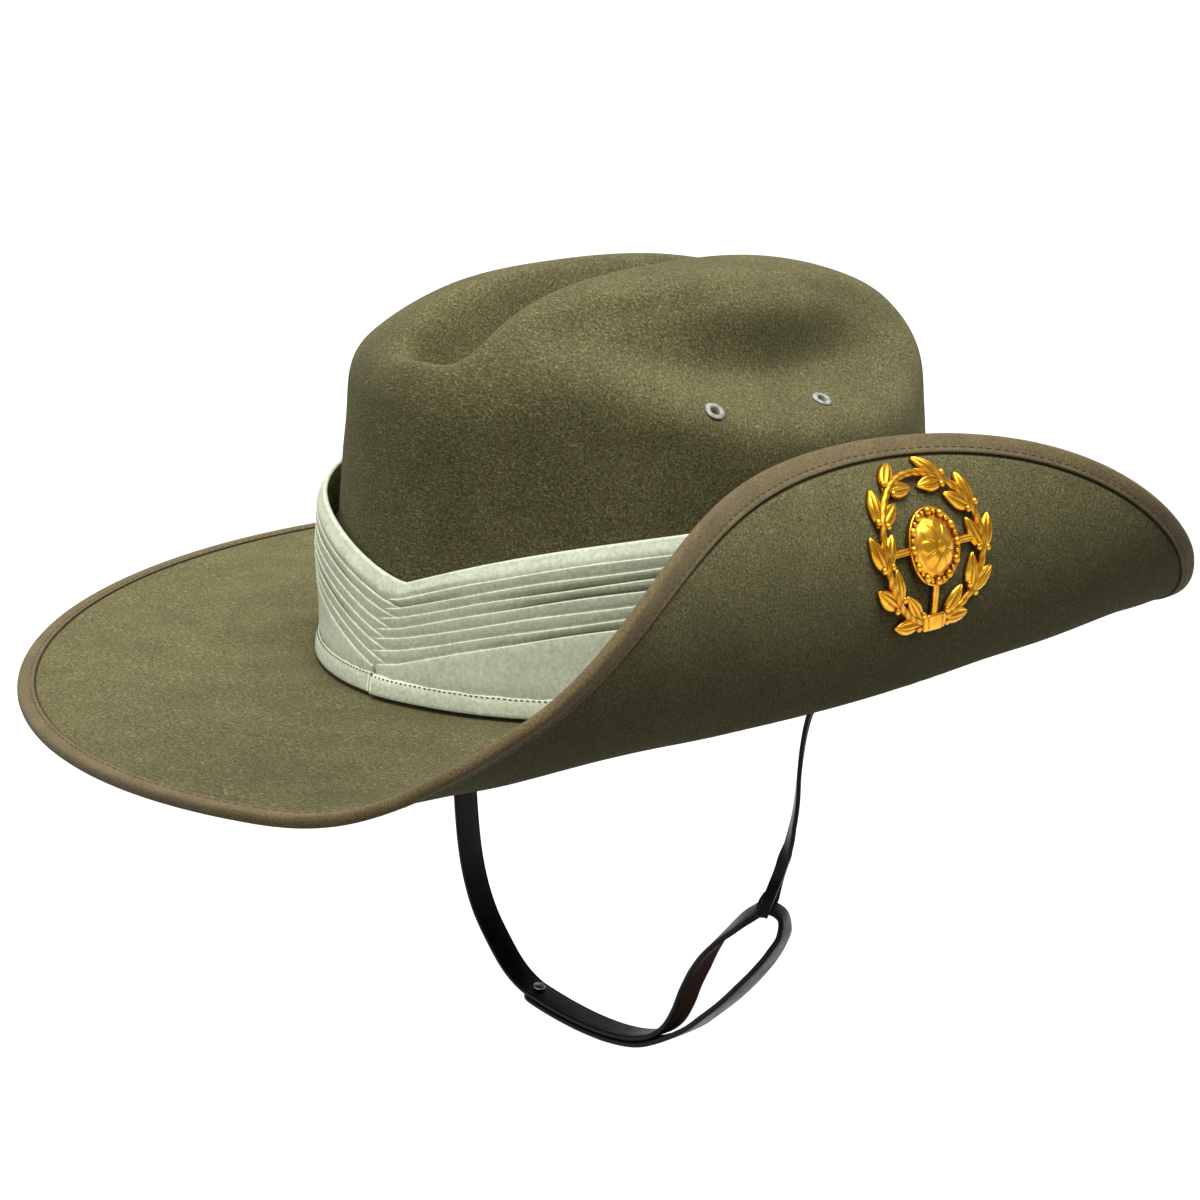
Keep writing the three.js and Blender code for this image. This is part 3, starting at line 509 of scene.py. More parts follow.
def punch(piece, spots_through, radius):
    """Cuts round holes through the felt at the given spots of (axes, middle)."""
    points, faces = [], []
    profile = [(0.0, -7.0), (radius, -7.0), (radius, 4.0), (0.0, 4.0)]
    for axes, middle in spots_through:
        local, rings = lathe(profile, 24)
        faces += [tuple(len(points) * len(local) + corner for corner in face) for face in rings]
        points.append(local @ axes + middle)
    cutter = add_mesh("punch", np.concatenate(points), faces)
    mend_mesh(cutter.data)
    holes = piece.modifiers.new("holes", "BOOLEAN")
    holes.object, holes.operation, holes.solver = cutter, "DIFFERENCE", "EXACT"
    graph = bpy.context.evaluated_depsgraph_get()
    cut = bpy.data.meshes.new_from_object(piece.evaluated_get(graph))
    piece.modifiers.clear()
    piece.data = cut
    cut.shade_smooth()
    bpy.data.objects.remove(cutter)


eyelet_paint = painted_metal()
lip = eyelet_lip / 2
eyelet_profile = [
    (eyelet_hole, -felt_wall - lip),
    (eyelet_hole + 0.25, -felt_wall - 1.6 * lip),
    (eyelet_flange - 0.3, -felt_wall - 1.2 * lip),
    (eyelet_flange, -felt_wall - 0.2 * lip),
    (eyelet_barrel, -felt_wall),
    (eyelet_barrel, 0),
    (eyelet_flange, 0.2 * lip),
    (eyelet_flange - 0.3, 1.2 * lip),
    (eyelet_flange - 0.8, 1.9 * lip),
    (eyelet_hole + 0.25, 1.6 * lip),
    (eyelet_hole, 0.4 * lip),
]
eyelet_places = []
for side_name, side in sides.items():
    for spot_name, (around, up_share) in eyelet_spots.items():
        axes, middle = crown_frame(side * math.radians(around), up_share * math.pi / 2)
        middle = middle + axes[2] * hand_blocked(middle)
        eyelet_places.append((axes, middle))
        local, faces = lathe(eyelet_profile, 28)
        eyelet = add_mesh(f"eyelet_{side_name}_{spot_name}_ring", local @ axes + middle, faces)
        mend_mesh(eyelet.data)
        finish_piece(
            eyelet, eyelet_paint, "eyelet_metal", f"eyelet_{side_name}_{spot_name}"
        )
punch(felt, eyelet_places, eyelet_barrel - 0.05)

# Brim binding
# A ribbed brown braid folded over the whole edge of the brim and machined down by one row
# of stitches near its inner edge; its two ends lap at the wearer's front right.
braid_thickness = 0.65
lap_angle, lap_slant, lap_rise = math.radians(-31), 0.055, 0.4
stitch_inset = 1.15
binding_columns = 520


def brim_seat(angle, reach):
    """Point and upward normal of the brim at a reach beyond the felt's edge."""
    share = 1 + reach / brim_width(angle)
    step = 0.002
    outward = brim_point(angle, share + step) - brim_point(angle, share - step)
    around = brim_point(angle + step, share) - brim_point(angle - step, share)
    return brim_point(angle, share), unit(np.cross(outward, around))


def braid_profile():
    """Closed section of the folded braid: (reach beyond the felt's edge, height above it)."""
    inner = edge_inset - binding_width
    face = [(0.0, 0.05), (-0.06, 0.3), (0.05, 0.52), (0.35, 0.62), (0.75, 0.55)]
    face += [(stitch_inset, 0.42), (1.55, 0.55), (2.3, 0.64), (3.2, 0.66)]
    upper = [(inner + along, height) for along, height in face]
    rim = []
    for turn in range(80, -81, -16):
        swing = math.radians(turn)
        rim.append(
            (
                (edge_inset - 0.15) * math.cos(swing),
                -felt_wall / 2 + (felt_wall / 2 + braid_thickness) * math.sin(swing),
            )
        )
    lower = [(reach, -felt_wall - height) for reach, height in reversed(upper)]
    lining = [(-0.1, -felt_wall - 0.04), (0.25, -felt_wall / 2), (-0.1, 0.04)]
    return upper + rim + lower + lining


def binding_rows():
    even = np.linspace(0, 2 * math.pi, binding_columns, endpoint=False)
    fine = lap_angle % (2 * math.pi) + np.linspace(-0.075, 0.075, 90)
    angles = np.unique(np.concatenate((even, fine)))
    rows = []
    for reach, height in braid_profile():
        point, normal = brim_seat(angles, reach)
        past_lap = (angles - lap_angle % (2 * math.pi)) - lap_slant * (reach + 2) / 5
        lapped = smooth(past_lap, -0.002, 0.002) * (1 - smooth(past_lap, 0.02, 0.07))
        outer = abs(height + felt_wall / 2) > felt_wall / 2 + 0.1 or reach > 0.3
        extra = lap_rise * lapped * outer
        lift = height + extra * (1 if height > -felt_wall / 2 else -1)
        rows.append(point + normal * lift[:, None])
    return np.array(rows)


def cloth_ring(name, rows, measured_row):
    """One closed strip of cloth that goes all the way round, with its places as UVs."""
    around = run_lengths(np.concatenate((rows[measured_row], rows[measured_row][:1])))
    across = run_lengths(np.concatenate((rows[:, 0], rows[:1, 0])))
    faces = ring_faces(*rows.shape[:2], closed_rows=True)
    return add_mesh(name, rows.reshape(-1, 3), faces, ring_uvs(across, around))


def cloth_group():
    """Woven threads seen close up, from places on the cloth in millimetres."""
    group = bpy.data.node_groups.new("woven threads", "ShaderNodeTree")
    for name, kind in (("Cloth", "Vector"), ("Across Pitch", "Float"), ("Along Pitch", "Float")):
        group.interface.new_socket(name, in_out="INPUT", socket_type=f"NodeSocket{kind}")
    for name in ("Height", "Slub"):
        group.interface.new_socket(name, in_out="OUTPUT", socket_type="NodeSocketFloat")
    given = group.nodes.new("NodeGroupInput").outputs
    made = group.nodes.new("NodeGroupOutput")
    parts = add_node(group, "ShaderNodeSeparateXYZ", Vector=given["Cloth"])
    waves = []
    for axis, pitch in (("X", "Along Pitch"), ("Y", "Across Pitch")):
        turns = computed(group, "DIVIDE", parts.outputs[axis], given[pitch])
        swing = computed(group, "MULTIPLY", turns, 2 * math.pi)
        waves.append(computed(group, "SINE", swing))
    cross = computed(group, "MULTIPLY", *waves)
    slub = add_node(group, "ShaderNodeTexNoise", Vector=given["Cloth"], Scale=1.4, Detail=4)
    group.links.new(cross, made.inputs["Height"])
    group.links.new(slub.outputs["Fac"], made.inputs["Slub"])
    return group


woven_threads = cloth_group()


def add_weave(tree, across_pitch, along_pitch):
    place = add_node(tree, "ShaderNodeTexCoord").outputs["UV"]
    weave = add_node(tree, "ShaderNodeGroup", {"node_tree": woven_threads}, Cloth=place)
    weave.inputs["Across Pitch"].default_value = across_pitch
    weave.inputs["Along Pitch"].default_value = along_pitch
    return weave.outputs["Height"], weave.outputs["Slub"], place


def braid_material():
    material, tree, shader = new_material("brown braid")
    threads, slub, place = add_weave(tree, 0.9, 0.55)
    wide = add_node(tree, "ShaderNodeTexNoise", Vector=place, Scale=0.09, Detail=3)
    base = ramp(tree, slub, (0.3, colour(66, 54, 26)), (0.7, colour(112, 95, 52)))
    worn_ends = (0.4, black_and_white(0.88)), (0.62, black_and_white(1.1))
    worn = ramp(tree, wide.outputs["Fac"], *worn_ends)
    base = mixed(tree, 1.0, base, worn, "MULTIPLY")
    tree.links.new(base, shader.inputs["Base Color"])
    height = computed(tree, "ADD", threads, slub)
    bump = add_node(tree, "ShaderNodeBump", Strength=0.35, Distance=0.0003, Height=height)
    tree.links.new(bump.outputs["Normal"], shader.inputs["Normal"])
    shader.inputs["Roughness"].default_value = 0.85
    shader.inputs["Sheen Weight"].default_value = 0.1
    return material


braid = cloth_ring("brim_braid", binding_rows(), 12)
finish_piece(braid, braid_material(), "braid", "brim_binding")

# Cloth band
# A strip of pale green cotton wound round the crown in seven upward pleats, with a rolled
# top edge and a turned hem. Its two ends cross in a point at the front and at the back,
# each pleat of one side tucked between two of the other.
band_seat, band_proud, cloth_fold = 0.6, 4.0, 0.8
point_angle = math.radians(4.5)
point_height = 35
pleat_rows = [
    # below the top edge, in mm: wearer's left far off and at the point, then wearer's right
    {"left_far": 4.6, "left_point": 4.4, "right_far": 5.5, "right_point": 7.0},
    {"left_far": 8.1, "left_point": 7.0, "right_far": 8.8, "right_point": 10.2},
    {"left_far": 11.1, "left_point": 9.8, "right_far": 12.2, "right_point": 14.2},
    {"left_far": 14.1, "left_point": 13.0, "right_far": 15.3, "right_point": 18.0},
    {"left_far": 18.0, "left_point": 15.8, "right_far": 18.6, "right_point": 21.2},
    {"left_far": 21.6, "left_point": 19.4, "right_far": 21.8, "right_point": 25.4},
    {"left_far": 24.3, "left_point": 23.5, "right_far": 25.0, "right_point": 29.0},
]
past_point_slope = {"left": 0.3, "right": 0.5}
tuck = 1.8
seam_turn = 6.5
face_row = 4
hem_top, hem_foot = 7.0, 0.9


def top_edge(degrees, side):
    if side == "left":
        return point_height + 21 * np.tanh(np.maximum(degrees, 0) / 40)
    return point_height + 21 * (1 - np.exp(-((np.maximum(degrees, 0) / 37) ** 1.5)))


def fold_line(index, degrees, side):
    """Height of a pleat's folded edge; past the point it runs on down under the others."""
    row = pleat_rows[index]
    near = np.exp(-np.maximum(degrees, 0) / 14)
    drop = row[f"{side}_far"] * (1 - near) + row[f"{side}_point"] * near
    wander = 0.12 * np.sin(degrees * 0.21 + 2.1 * index) * smooth(degrees, 4, 20)
    past = past_point_slope[side] * np.minimum(degrees, 0)
    return top_edge(degrees, side) - drop + wander + past


def other(side):
    return "right" if side == "left" else "left"


def next_line(index, degrees, side):
    """The highest folded edge that lies over a pleat: of its own side or across the point."""
    across = index if side == "left" else index + 1
    lines = [hem_top - 1 + 0 * degrees]
    if index + 1 < len(pleat_rows):
        lines.append(fold_line(index + 1, degrees, side))
        lines.append(fold_line(across, -degrees, other(side)))
    return np.maximum.reduce(lines)


def band_point(angle, height, offset):
    """A place on the band, whose upper part stands a little off the crown at the front right."""
    out = crown_point(angle, 0) * (1, 1, 0)
    degrees = np.degrees((angle + math.pi) % (2 * math.pi) - math.pi)
    loose = 3.2 * np.exp(-(((degrees + 42) / 24) ** 2)) * smooth(height, 8, 36)
    return crown_point(angle, height) + unit(out) * (offset + loose)[..., None]


def pleat_angles(index, side):
    """Angles from just past the front point to just past the back one."""
    at_point = np.array(0.0)
    crossing = index if side == "left" else index + 1
    past = -seam_turn
    if crossing < len(pleat_rows):
        rise = fold_line(index, at_point, side) - fold_line(crossing, at_point, other(side))
        past = rise / sum(past_point_slope.values()) + 1.5
    near = np.arange(-past, 20, 0.5)
    far = np.arange(20, 91, 2.0)
    half = np.concatenate((near, far))
    degrees = np.concatenate((half, 180 - half[::-1][1:]))
    return point_angle + np.radians(degrees) * (1 if side == "left" else -1), degrees


def gap_depth(index, degrees, side):
    """How far a pleat dives behind the next: some stand open and throw a dark line."""
    open_near = {0: 0.9}
    open_far = {1: 1.5, 2: 1.5, 5: 1.1}
    depth = (0.42 if side == "right" else 0.55) + 0 * degrees
    if side == "left":
        depth = depth + open_near.get(index, 0) * (1 - smooth(degrees, 6, 16))
        depth = depth + open_far.get(index, 0) * smooth(degrees, 14, 34)
    else:
        depth = depth + (0.5 if index in (0, 3, 6) else 0) * smooth(degrees, 8, 20)
    return depth


def pleat_strip(index, side):
    angles, degrees = pleat_angles(index, side)
    nearest = np.where(degrees > 90, 180 - degrees, degrees)
    top = fold_line(index, nearest, side)
    following = next_line(index, nearest, side)
    low = following - tuck
    depth = gap_depth(index, nearest, side)
    under_end = smooth(-nearest, seam_turn - 1.7, seam_turn) * (index == len(pleat_rows) - 1)
    radius = cloth_fold / 2

    def offset(height):
        above = height - following
        tilt, gap = 1 - smooth(above, 0, 4.2), 1 - smooth(above, -0.4, 1.5)
        dive = 0.24 * tilt + (depth - 0.24) * gap + 0.12 * np.maximum(0, -above)
        return band_proud - 0.1 - dive - under_end

    rows = []
    crest = offset(top)
    for turn in (100, 60, 25):
        swing = math.radians(turn)
        height = top - radius + radius * math.sin(swing)
        rows.append(band_point(angles, height, crest - radius + radius * math.cos(swing)))
    for share in (0.0, 0.14, 0.3, 0.42, 0.5, 0.58, 0.66, 0.76, 0.88, 1.0):
        height = (top - radius) * (1 - share) + low * share
        rows.append(band_point(angles, height, offset(height)))
    for share in (1.0, 0.5, 0.0):
        height = (top - radius) * (1 - share) + low * share
        rows.append(band_point(angles, height, offset(height) - cloth_fold))
    return np.array(rows)


def closed_strip(rows, start):
    """Faces of a strip whose section is a ring and whose two ends are capped."""
    sections, columns = rows.shape[:2]
    faces = ring_faces(sections, columns, closed_rows=True, closed_columns=False, offset=start)
    first = [start + index * columns for index in range(sections)]
    last = [start + index * columns + columns - 1 for index in range(sections)]
    return faces, first, last[::-1]


def cloth_strips(name, strips):
    """One mesh of several strips of cloth, with their places on the cloth as UVs."""
    points, faces, uvs = [], [], []
    for rows in strips:
        start = sum(len(p) for p in points)
        side_faces, first, last = closed_strip(rows, start)
        across = run_lengths(np.concatenate((rows[:, 0], rows[:1, 0])))
        grid = ring_uvs(across, run_lengths(rows[face_row]))
        ends = np.zeros((2 * len(first), 2))
        faces += side_faces + [first, last]
        points.append(rows.reshape(-1, 3))
        uvs += [grid, ends]
    return add_mesh(name, np.concatenate(points), faces, np.concatenate(uvs))


def ring_angles(*fine_spots):
    even = np.linspace(-math.pi, math.pi, 260, endpoint=False)
    fine = [middle + np.radians(np.arange(-9, 9, 0.35)) for middle in fine_spots]
    return np.unique(np.concatenate((even, *fine)))


def top_roll_rows():
    angles = ring_angles(point_angle, point_angle - math.pi)
    turn = np.degrees(angles - point_angle)
    turn = (turn + 180) % 360 - 180
    to_left = np.where(turn > 90, 180 - turn, np.where(turn < -90, -180 - turn, turn))
    side_left = turn > 0
    edges = [top_edge(np.abs(to_left), side) for side in sides]
    top = np.where(side_left, *edges)
    signed = np.where(side_left, np.abs(to_left), -np.abs(to_left))
    following = np.maximum(fold_line(0, signed, "left"), fold_line(0, -signed, "right"))
    low = following - tuck
    radius = 0.9
    seam = smooth(-signed, 0.9, 1.5) * (1 - smooth(-signed, 1.5, 9))
    front = np.cos(angles) > 0
    pucker = 0.45 * np.exp(-(((signed - 2.6) / 0.9) ** 2))
    pucker = pucker + 0.5 * np.exp(-(((signed + 8.4) / 1.8) ** 2))

    def offset(height):
        below = top - height
        above = height - following
        roll = 2.0 * (1 - np.clip(below / 4.8, 0, 1)) ** 1.4
        soft = np.where(side_left, 0.35 + 0.6 * (1 - smooth(np.abs(signed), 8, 20)), 0.75)
        dive = soft * (1 - smooth(above, -0.3, 1.6))
        sunk = (0.5 * seam + pucker * front) * smooth(below, 1.2, 3.2)
        return band_proud - 0.05 - roll - dive - sunk

    rows = []
    crest = offset(top - radius)
    for swing in np.radians((140, 100, 60, 25)):
        height = top - radius + radius * math.sin(swing)
        rows.append(band_point(angles, height, crest - radius + radius * math.cos(swing)))
    shares = (0.0, 0.15, 0.3, 0.45, 0.6, 0.75, 0.88, 1.0)
    for share in shares:
        height = (top - radius) * (1 - share) + low * share
        rows.append(band_point(angles, height, offset(height)))
    for share in (1.0, 0.5, 0.0):
        height = (top - radius) * (1 - share) + low * share
        rows.append(band_point(angles, height, np.maximum(offset(height) - 1.6, 0.2)))
    return np.array(rows)


def hem_lap(angles):
    """The hem's two ends lap in a small step just right of the front."""
    past_lap = np.degrees((angles + math.pi) % (2 * math.pi) - math.pi) + 1.3
    raised = 0.9 * smooth(past_lap, -0.2, 0.1) * (1 - smooth(past_lap, 1, 14))
    return raised - 1.0 * np.exp(-(((past_lap + 0.45) / 0.34) ** 2))


def hem_rows():
    angles = ring_angles(math.radians(-1.1))
    angles = np.unique(np.concatenate((angles, np.radians(np.linspace(-2.4, -1.0, 36)))))
    lapped = hem_lap(angles)
    scallop = 0.07 * np.sin(angles * 320) + 0.22 * np.sin(angles * 61 + 1) * np.sin(angles * 23)
    rows = []
    section = [(hem_top - 0.35, 3.5), (hem_top, 3.7), (hem_top - 0.2, 3.98)]
    section += [(hem_top - 0.55, 4.04), (hem_top - 1.1, 4.32), (hem_top - 2.4, 4.5)]
    section += [(2.6, 4.6), (1.7, 4.6), (1.35, 4.45), (1.2, 4.1), (1.35, 3.7)]
    section += [(2.4, 3.45), (hem_top - 2, 3.3)]
    for height, reach in section:
        level = height + scallop * (height > hem_top - 1)
        rows.append(band_point(angles, level, reach + lapped * (reach > 4)))
    return np.array(rows)


def cotton_material():
    material, tree, shader = new_material("pale green cotton")
    threads = add_weave(tree, 0.55, 0.55)[0]
    solid = add_node(tree, "ShaderNodeTexCoord").outputs["Object"]
    fine = add_node(tree, "ShaderNodeTexNoise", Vector=solid, Scale=900, Detail=3).outputs["Fac"]
    wide = add_node(tree, "ShaderNodeTexNoise", Vector=solid, Scale=110, Detail=3)
    base = ramp(tree, fine, (0.3, colour(200, 207, 179)), (0.7, colour(231, 236, 210)))
    soft_ends = (0.35, black_and_white(0.93)), (0.65, black_and_white(1.03))
    soft = ramp(tree, wide.outputs["Fac"], *soft_ends)
    base = mixed(tree, 1.0, base, soft, "MULTIPLY")
    tree.links.new(base, shader.inputs["Base Color"])
    height = computed(tree, "ADD", threads, fine)
    bump = add_node(tree, "ShaderNodeBump", Strength=0.35, Distance=0.0002, Height=height)
    tree.links.new(bump.outputs["Normal"], shader.inputs["Normal"])
    shader.inputs["Roughness"].default_value = 0.88
    shader.inputs["Specular IOR Level"].default_value = 0.25
    shader.inputs["Sheen Weight"].default_value = 0.08
    return material


cotton = cotton_material()
pleats = cloth_strips(
    "puggaree_pleats",
    [pleat_strip(index, side) for index in range(len(pleat_rows)) for side in sides],
)
finish_piece(pleats, cotton, "band_cloth", "puggaree")
for name, rows in (("puggaree_top_roll", top_roll_rows()), ("puggaree_hem", hem_rows())):
    finish_piece(cloth_ring(name, rows, face_row), cotton, "band_cloth", "puggaree")

# Stitching
# The hem of the band and both faces of the braid carry a row of lockstitches, sunk a little
# into the cloth. One small stitch is laid end to end along each row.


def stitch_tree():
    tree = bpy.data.node_groups.new("row of stitches", "GeometryNodeTree")
    sockets = tree.interface
    sockets.new_socket("Geometry", in_out="INPUT", socket_type="NodeSocketGeometry")
    for name, value in (("Pitch", 0.0025), ("Stitch Length", 0.0018), ("Thread Radius", 0.0002)):
        size = sockets.new_socket(name, in_out="INPUT", socket_type="NodeSocketFloat")
        size.default_value = value
    sockets.new_socket("Thread", in_out="INPUT", socket_type="NodeSocketMaterial")
    sockets.new_socket("Geometry", in_out="OUTPUT", socket_type="NodeSocketGeometry")
    given = tree.nodes.new("NodeGroupInput").outputs
    row = add_node(tree, "GeometryNodeMeshToCurve", Mesh=given["Geometry"])
    evened = add_node(
        tree,
        "GeometryNodeResampleCurve",
        {"mode": "LENGTH"},
        Curve=row.outputs[0],
        Length=given["Pitch"],
    )
    vector = {"data_type": "FLOAT_VECTOR"}
    out = add_node(tree, "GeometryNodeInputNamedAttribute", vector, Name="out")
    tangent = tree.nodes.new("GeometryNodeInputTangent")
    ahead = add_node(
        tree,
        "FunctionNodeAxesToRotation",
        Primary_Axis=out.outputs[0],
        Secondary_Axis=tangent.outputs[0],
    )
    ahead.primary_axis, ahead.secondary_axis = "Z", "X"
    bead = add_node(tree, "GeometryNodeMeshIcoSphere", Radius=1.0, Subdivisions=2)
    half = computed(tree, "MULTIPLY", given["Stitch Length"], 0.5)
    size = add_node(
        tree,
        "ShaderNodeCombineXYZ",
        X=half,
        Y=given["Thread Radius"],
        Z=given["Thread Radius"],
    )
    laid = add_node(
        tree,
        "GeometryNodeInstanceOnPoints",
        Points=evened.outputs[0],
        Instance=bead.outputs[0],
        Rotation=ahead.outputs[0],
        Scale=size.outputs[0],
    )
    real = add_node(tree, "GeometryNodeRealizeInstances", Geometry=laid.outputs[0])
    painted = add_node(
        tree, "GeometryNodeSetMaterial", Geometry=real.outputs[0], Material=given["Thread"]
    )
    made = tree.nodes.new("NodeGroupOutput")
    tree.links.new(painted.outputs[0], made.inputs[0])
    return tree


def stitch_row(name, rows, thread, slot, pitch, length, radius):
    """Stitches along closed rows of (points, outward directions)."""
    points, ways, edges = [], [], []
    for row_points, row_ways in rows:
        start, count = len(points), len(row_points)
        edges += [(start + i, start + (i + 1) % count) for i in range(count)]
        points += (row_points * MM).tolist()
        ways += row_ways.tolist()
    guide_mesh = bpy.data.meshes.new(name)
    guide_mesh.from_pydata(points, edges, [])
    way = guide_mesh.attributes.new("out", "FLOAT_VECTOR", "POINT")
    way.data.foreach_set("vector", np.array(ways, np.float32).ravel())
    guide = bpy.data.objects.new(name, guide_mesh)
    scene.collection.objects.link(guide)
    laid = guide.modifiers.new("stitches", "NODES")
    laid.node_group = stitches
    values = {
        "Pitch": pitch * MM,
        "Stitch Length": length * MM,
        "Thread Radius": radius * MM,
        "Thread": thread,
    }
    for item in stitches.interface.items_tree:
        if item.name in values and item.in_out == "INPUT":
            laid[item.identifier] = values[item.name]
    graph = bpy.context.evaluated_depsgraph_get()
    sewn = bpy.data.meshes.new_from_object(guide.evaluated_get(graph))
    guide.modifiers.clear()
    guide.data = sewn
    sewn.shade_smooth()
    finish_piece(guide, None, slot)


def thread_material(name, shade):
    material, tree, shader = new_material(name)
    place = add_node(tree, "ShaderNodeTexCoord").outputs["Object"]
    twist = add_node(tree, "ShaderNodeTexNoise", Vector=place, Scale=2500, Detail=2)
    dark = tuple(0.7 * channel for channel in shade[:3]) + (1,)
    tone = ramp(tree, twist.outputs["Fac"], (0.35, dark), (0.65, shade))
    tree.links.new(tone, shader.inputs["Base Color"])
    shader.inputs["Roughness"].default_value = 0.8
    return material


stitches = stitch_tree()
row_angles = np.linspace(0, 2 * math.pi, 600, endpoint=False)
hem_line = band_point(row_angles, np.full(600, hem_top - 0.5), 4.05 + hem_lap(row_angles))
hem_out = unit(crown_point(row_angles, 0) * (1, 1, 0))
stitch_row(
    "puggaree_hem_stitches",
    [(hem_line, hem_out)],
    thread_material("olive thread", colour(84, 86, 60)),
    "band_cloth",
    pitch=1.7,
    length=1.0,
    radius=0.24,
)
seam_reach = edge_inset - binding_width + stitch_inset
seam_point, seam_normal = brim_seat(row_angles, seam_reach)
stitch_row(
    "brim_braid_stitches",
    [
        (seam_point + 0.45 * seam_normal, seam_normal),
        (seam_point - (felt_wall + 0.45) * seam_normal, -seam_normal),
    ],
    thread_material("brown thread", colour(74, 60, 44)),
    "braid",
    pitch=3.2,
    length=2.3,
    radius=0.24,
)

# Ornament
# A gilt casting: a laurel wreath tied with a ribbon round a domed boss with a ring of beads.
# Its back follows the flap, and two looped lugs pass through the felt to a straight pin.
badge_up_flap, badge_back, badge_stand = 54, 12, 0.6
wreath_radius, stem_radius, wreath_gap = 20.5, 1.1, 16
leaf_length, leaf_width, leaf_spread, leaves_per_branch = 12, 5.2, 24, 5
leaf_foot_share, first_leaf_share = 0.45, 0.8
boss_radius, boss_thickness, boss_dome = 10.5, 1.6, 2.6
bead_count, bead_radius, spoke_width = 12, 1.3, 2.4
tie_width, tie_height, tie_thickness = 10, 5, 2.4
lug_spacing, lug_loop, lug_wire, lug_hole = 26, 1.45, 0.6, 0.95
pin_radius, pin_overhang = 0.8, 6


def flap_point(along, rise, out):
    """A point off the flap's outside, measured on the felt from the ornament's middle."""
    x, y, step = half_width + badge_up_flap + rise, badge_back + along, 0.5

    def at(x_now, y_now):
        return sheet_point(x_now, y_now, 1, flap_curl)

    outward = at(x + step, y) - at(x - step, y)
    sideways = at(x, y + step) - at(x, y - step)
    normal = unit(np.cross(sideways, outward))
    return at(x, y) + normal * (felt_wall + np.asarray(out)[..., None])


badge_seat = flap_point(0, 0, 0)
badge_out = flap_point(0, 0, 1) - badge_seat
badge_first = unit(np.array([0, 1, 0]) - badge_out[1] * badge_out)
badge_axes = np.array([badge_first, np.cross(badge_out, badge_first), badge_out])
pin_length = lug_spacing + 2 * pin_overhang
pin_sag = max(
    -felt_wall - (flap_point(end * pin_length, 0, -felt_wall) - badge_seat) @ badge_out
    for end in (-0.5, 0.5)
)
pin_depth = felt_wall + max(0, pin_sag) + badge_stand + pin_radius


class Casting:
    """Gathers closed shells of points (along, rise, out) with how much painted shade each point
    takes.
    """

    def __init__(self):
        self.points, self.hollow, self.faces = [], [], []

    def add(self, points, hollow, faces):
        start = len(self.hollow)
        self.points.append(np.asarray(points, float).reshape(-1, 3))
        self.hollow += np.broadcast_to(hollow, points.shape[:-1]).ravel().tolist()
        self.faces += [tuple(start + corner for corner in face) for face in faces]


def leaf_shell(casting, middle, heading):
    """A pointed leaf with a raised rib, two hollows beside it and slanting veins."""
    u, v = np.meshgrid(np.linspace(-1, 1, 17), np.linspace(1, -1, 13), indexing="ij")
    ends = np.clip(1 - np.abs(u) ** 1.9, 0, 1)
    half = leaf_width / 2 * ends
    bulge = np.sqrt(np.clip(1 - v * v, 0, 1)) * ends**0.5
    rib = np.exp(-((v / 0.12) ** 2)) * ends**0.5
    furrow = np.exp(-(((np.abs(v) - 0.3) / 0.16) ** 2)) * ends**0.5
    veins = np.cos(17 * (u - 0.55 * np.abs(v))) * np.clip(np.abs(v) * 2 - 0.3, 0, 1) * bulge
    top = 0.55 * ends**0.3 + 1.35 * bulge + 0.35 * rib - 0.45 * furrow + 0.09 * veins
    flat_v = np.linspace(-1, 1, 5)[None, :] * np.ones((17, 1))
    across = np.concatenate((v * half, flat_v * half[:, :1]), axis=1)
    length = np.concatenate((u, u[:, :5]), axis=1) * leaf_length / 2
    out = np.concatenate((top, 0 * flat_v), axis=1)
    # Painted shade: the leaf darkens in the furrows beside its rib and between its veins, and over
    # its flat back.
    shade_share = np.concatenate((furrow - 0.35 * veins, 1 + 0 * flat_v), axis=1)
    turned_x = middle[0] + length * math.cos(heading) - across * math.sin(heading)
    turned_y = middle[1] + length * math.sin(heading) + across * math.cos(heading)
    faces = ring_faces(17, 18)
    casting.add(spots(turned_x, turned_y, out), shade_share, faces)


def ball_shell(casting, middle, radius, squash=1.0):
    polar, turn = np.meshgrid(
        np.linspace(0, math.pi, 9), np.linspace(0, 2 * math.pi, 14, endpoint=False), indexing="ij"
    )
    ball = spots(
        middle[0] + radius * np.sin(polar) * np.cos(turn),
        middle[1] + radius * np.sin(polar) * np.sin(turn),
        middle[2] + squash * radius * np.cos(polar),
    )
    # Painted shade: each ball darkens round its sides and over its lower half, and stays bright only
    # on top.
    casting.add(ball, np.clip(np.sin(polar) ** 4 + (polar > 1.6), 0, 1), ring_faces(9, 14))


def bar_shell(casting, start, end, width, thickness):
    """A straight bar with three reeds along its face."""
    start, end = np.array(start, float), np.array(end, float)
    along = (end - start) / np.linalg.norm(end - start)
    side = np.array([-along[1], along[0]])
    across = np.concatenate((np.linspace(0.5, -0.5, 13), np.linspace(-0.5, 0.5, 4)))
    reeds = 0.25 * np.abs(np.cos(3 * math.pi * across[:13])) ** 0.6 + 0.75
    lift = np.concatenate((thickness * reeds * (1 - np.abs(2 * across[:13]) ** 5), np.zeros(4)))
    # Painted shade in the grooves between the reeds and on the bar's underside.
    shade_share = np.concatenate((1.6 * (1 - reeds) / 0.25 - 0.4, np.ones(4)))
    steps = np.linspace(0, 1, 26)[:, None]
    middle = start + steps * (end - start)
    x = middle[:, :1] + across * width * side[0]
    y = middle[:, 1:] + across * width * side[1]
    faces = ring_faces(26, 17)
    faces += [tuple(range(17)), tuple(range(26 * 17 - 1, 25 * 17 - 1, -1))]
    casting.add(spots(x, y, lift + 0 * x), shade_share + 0 * x, faces)


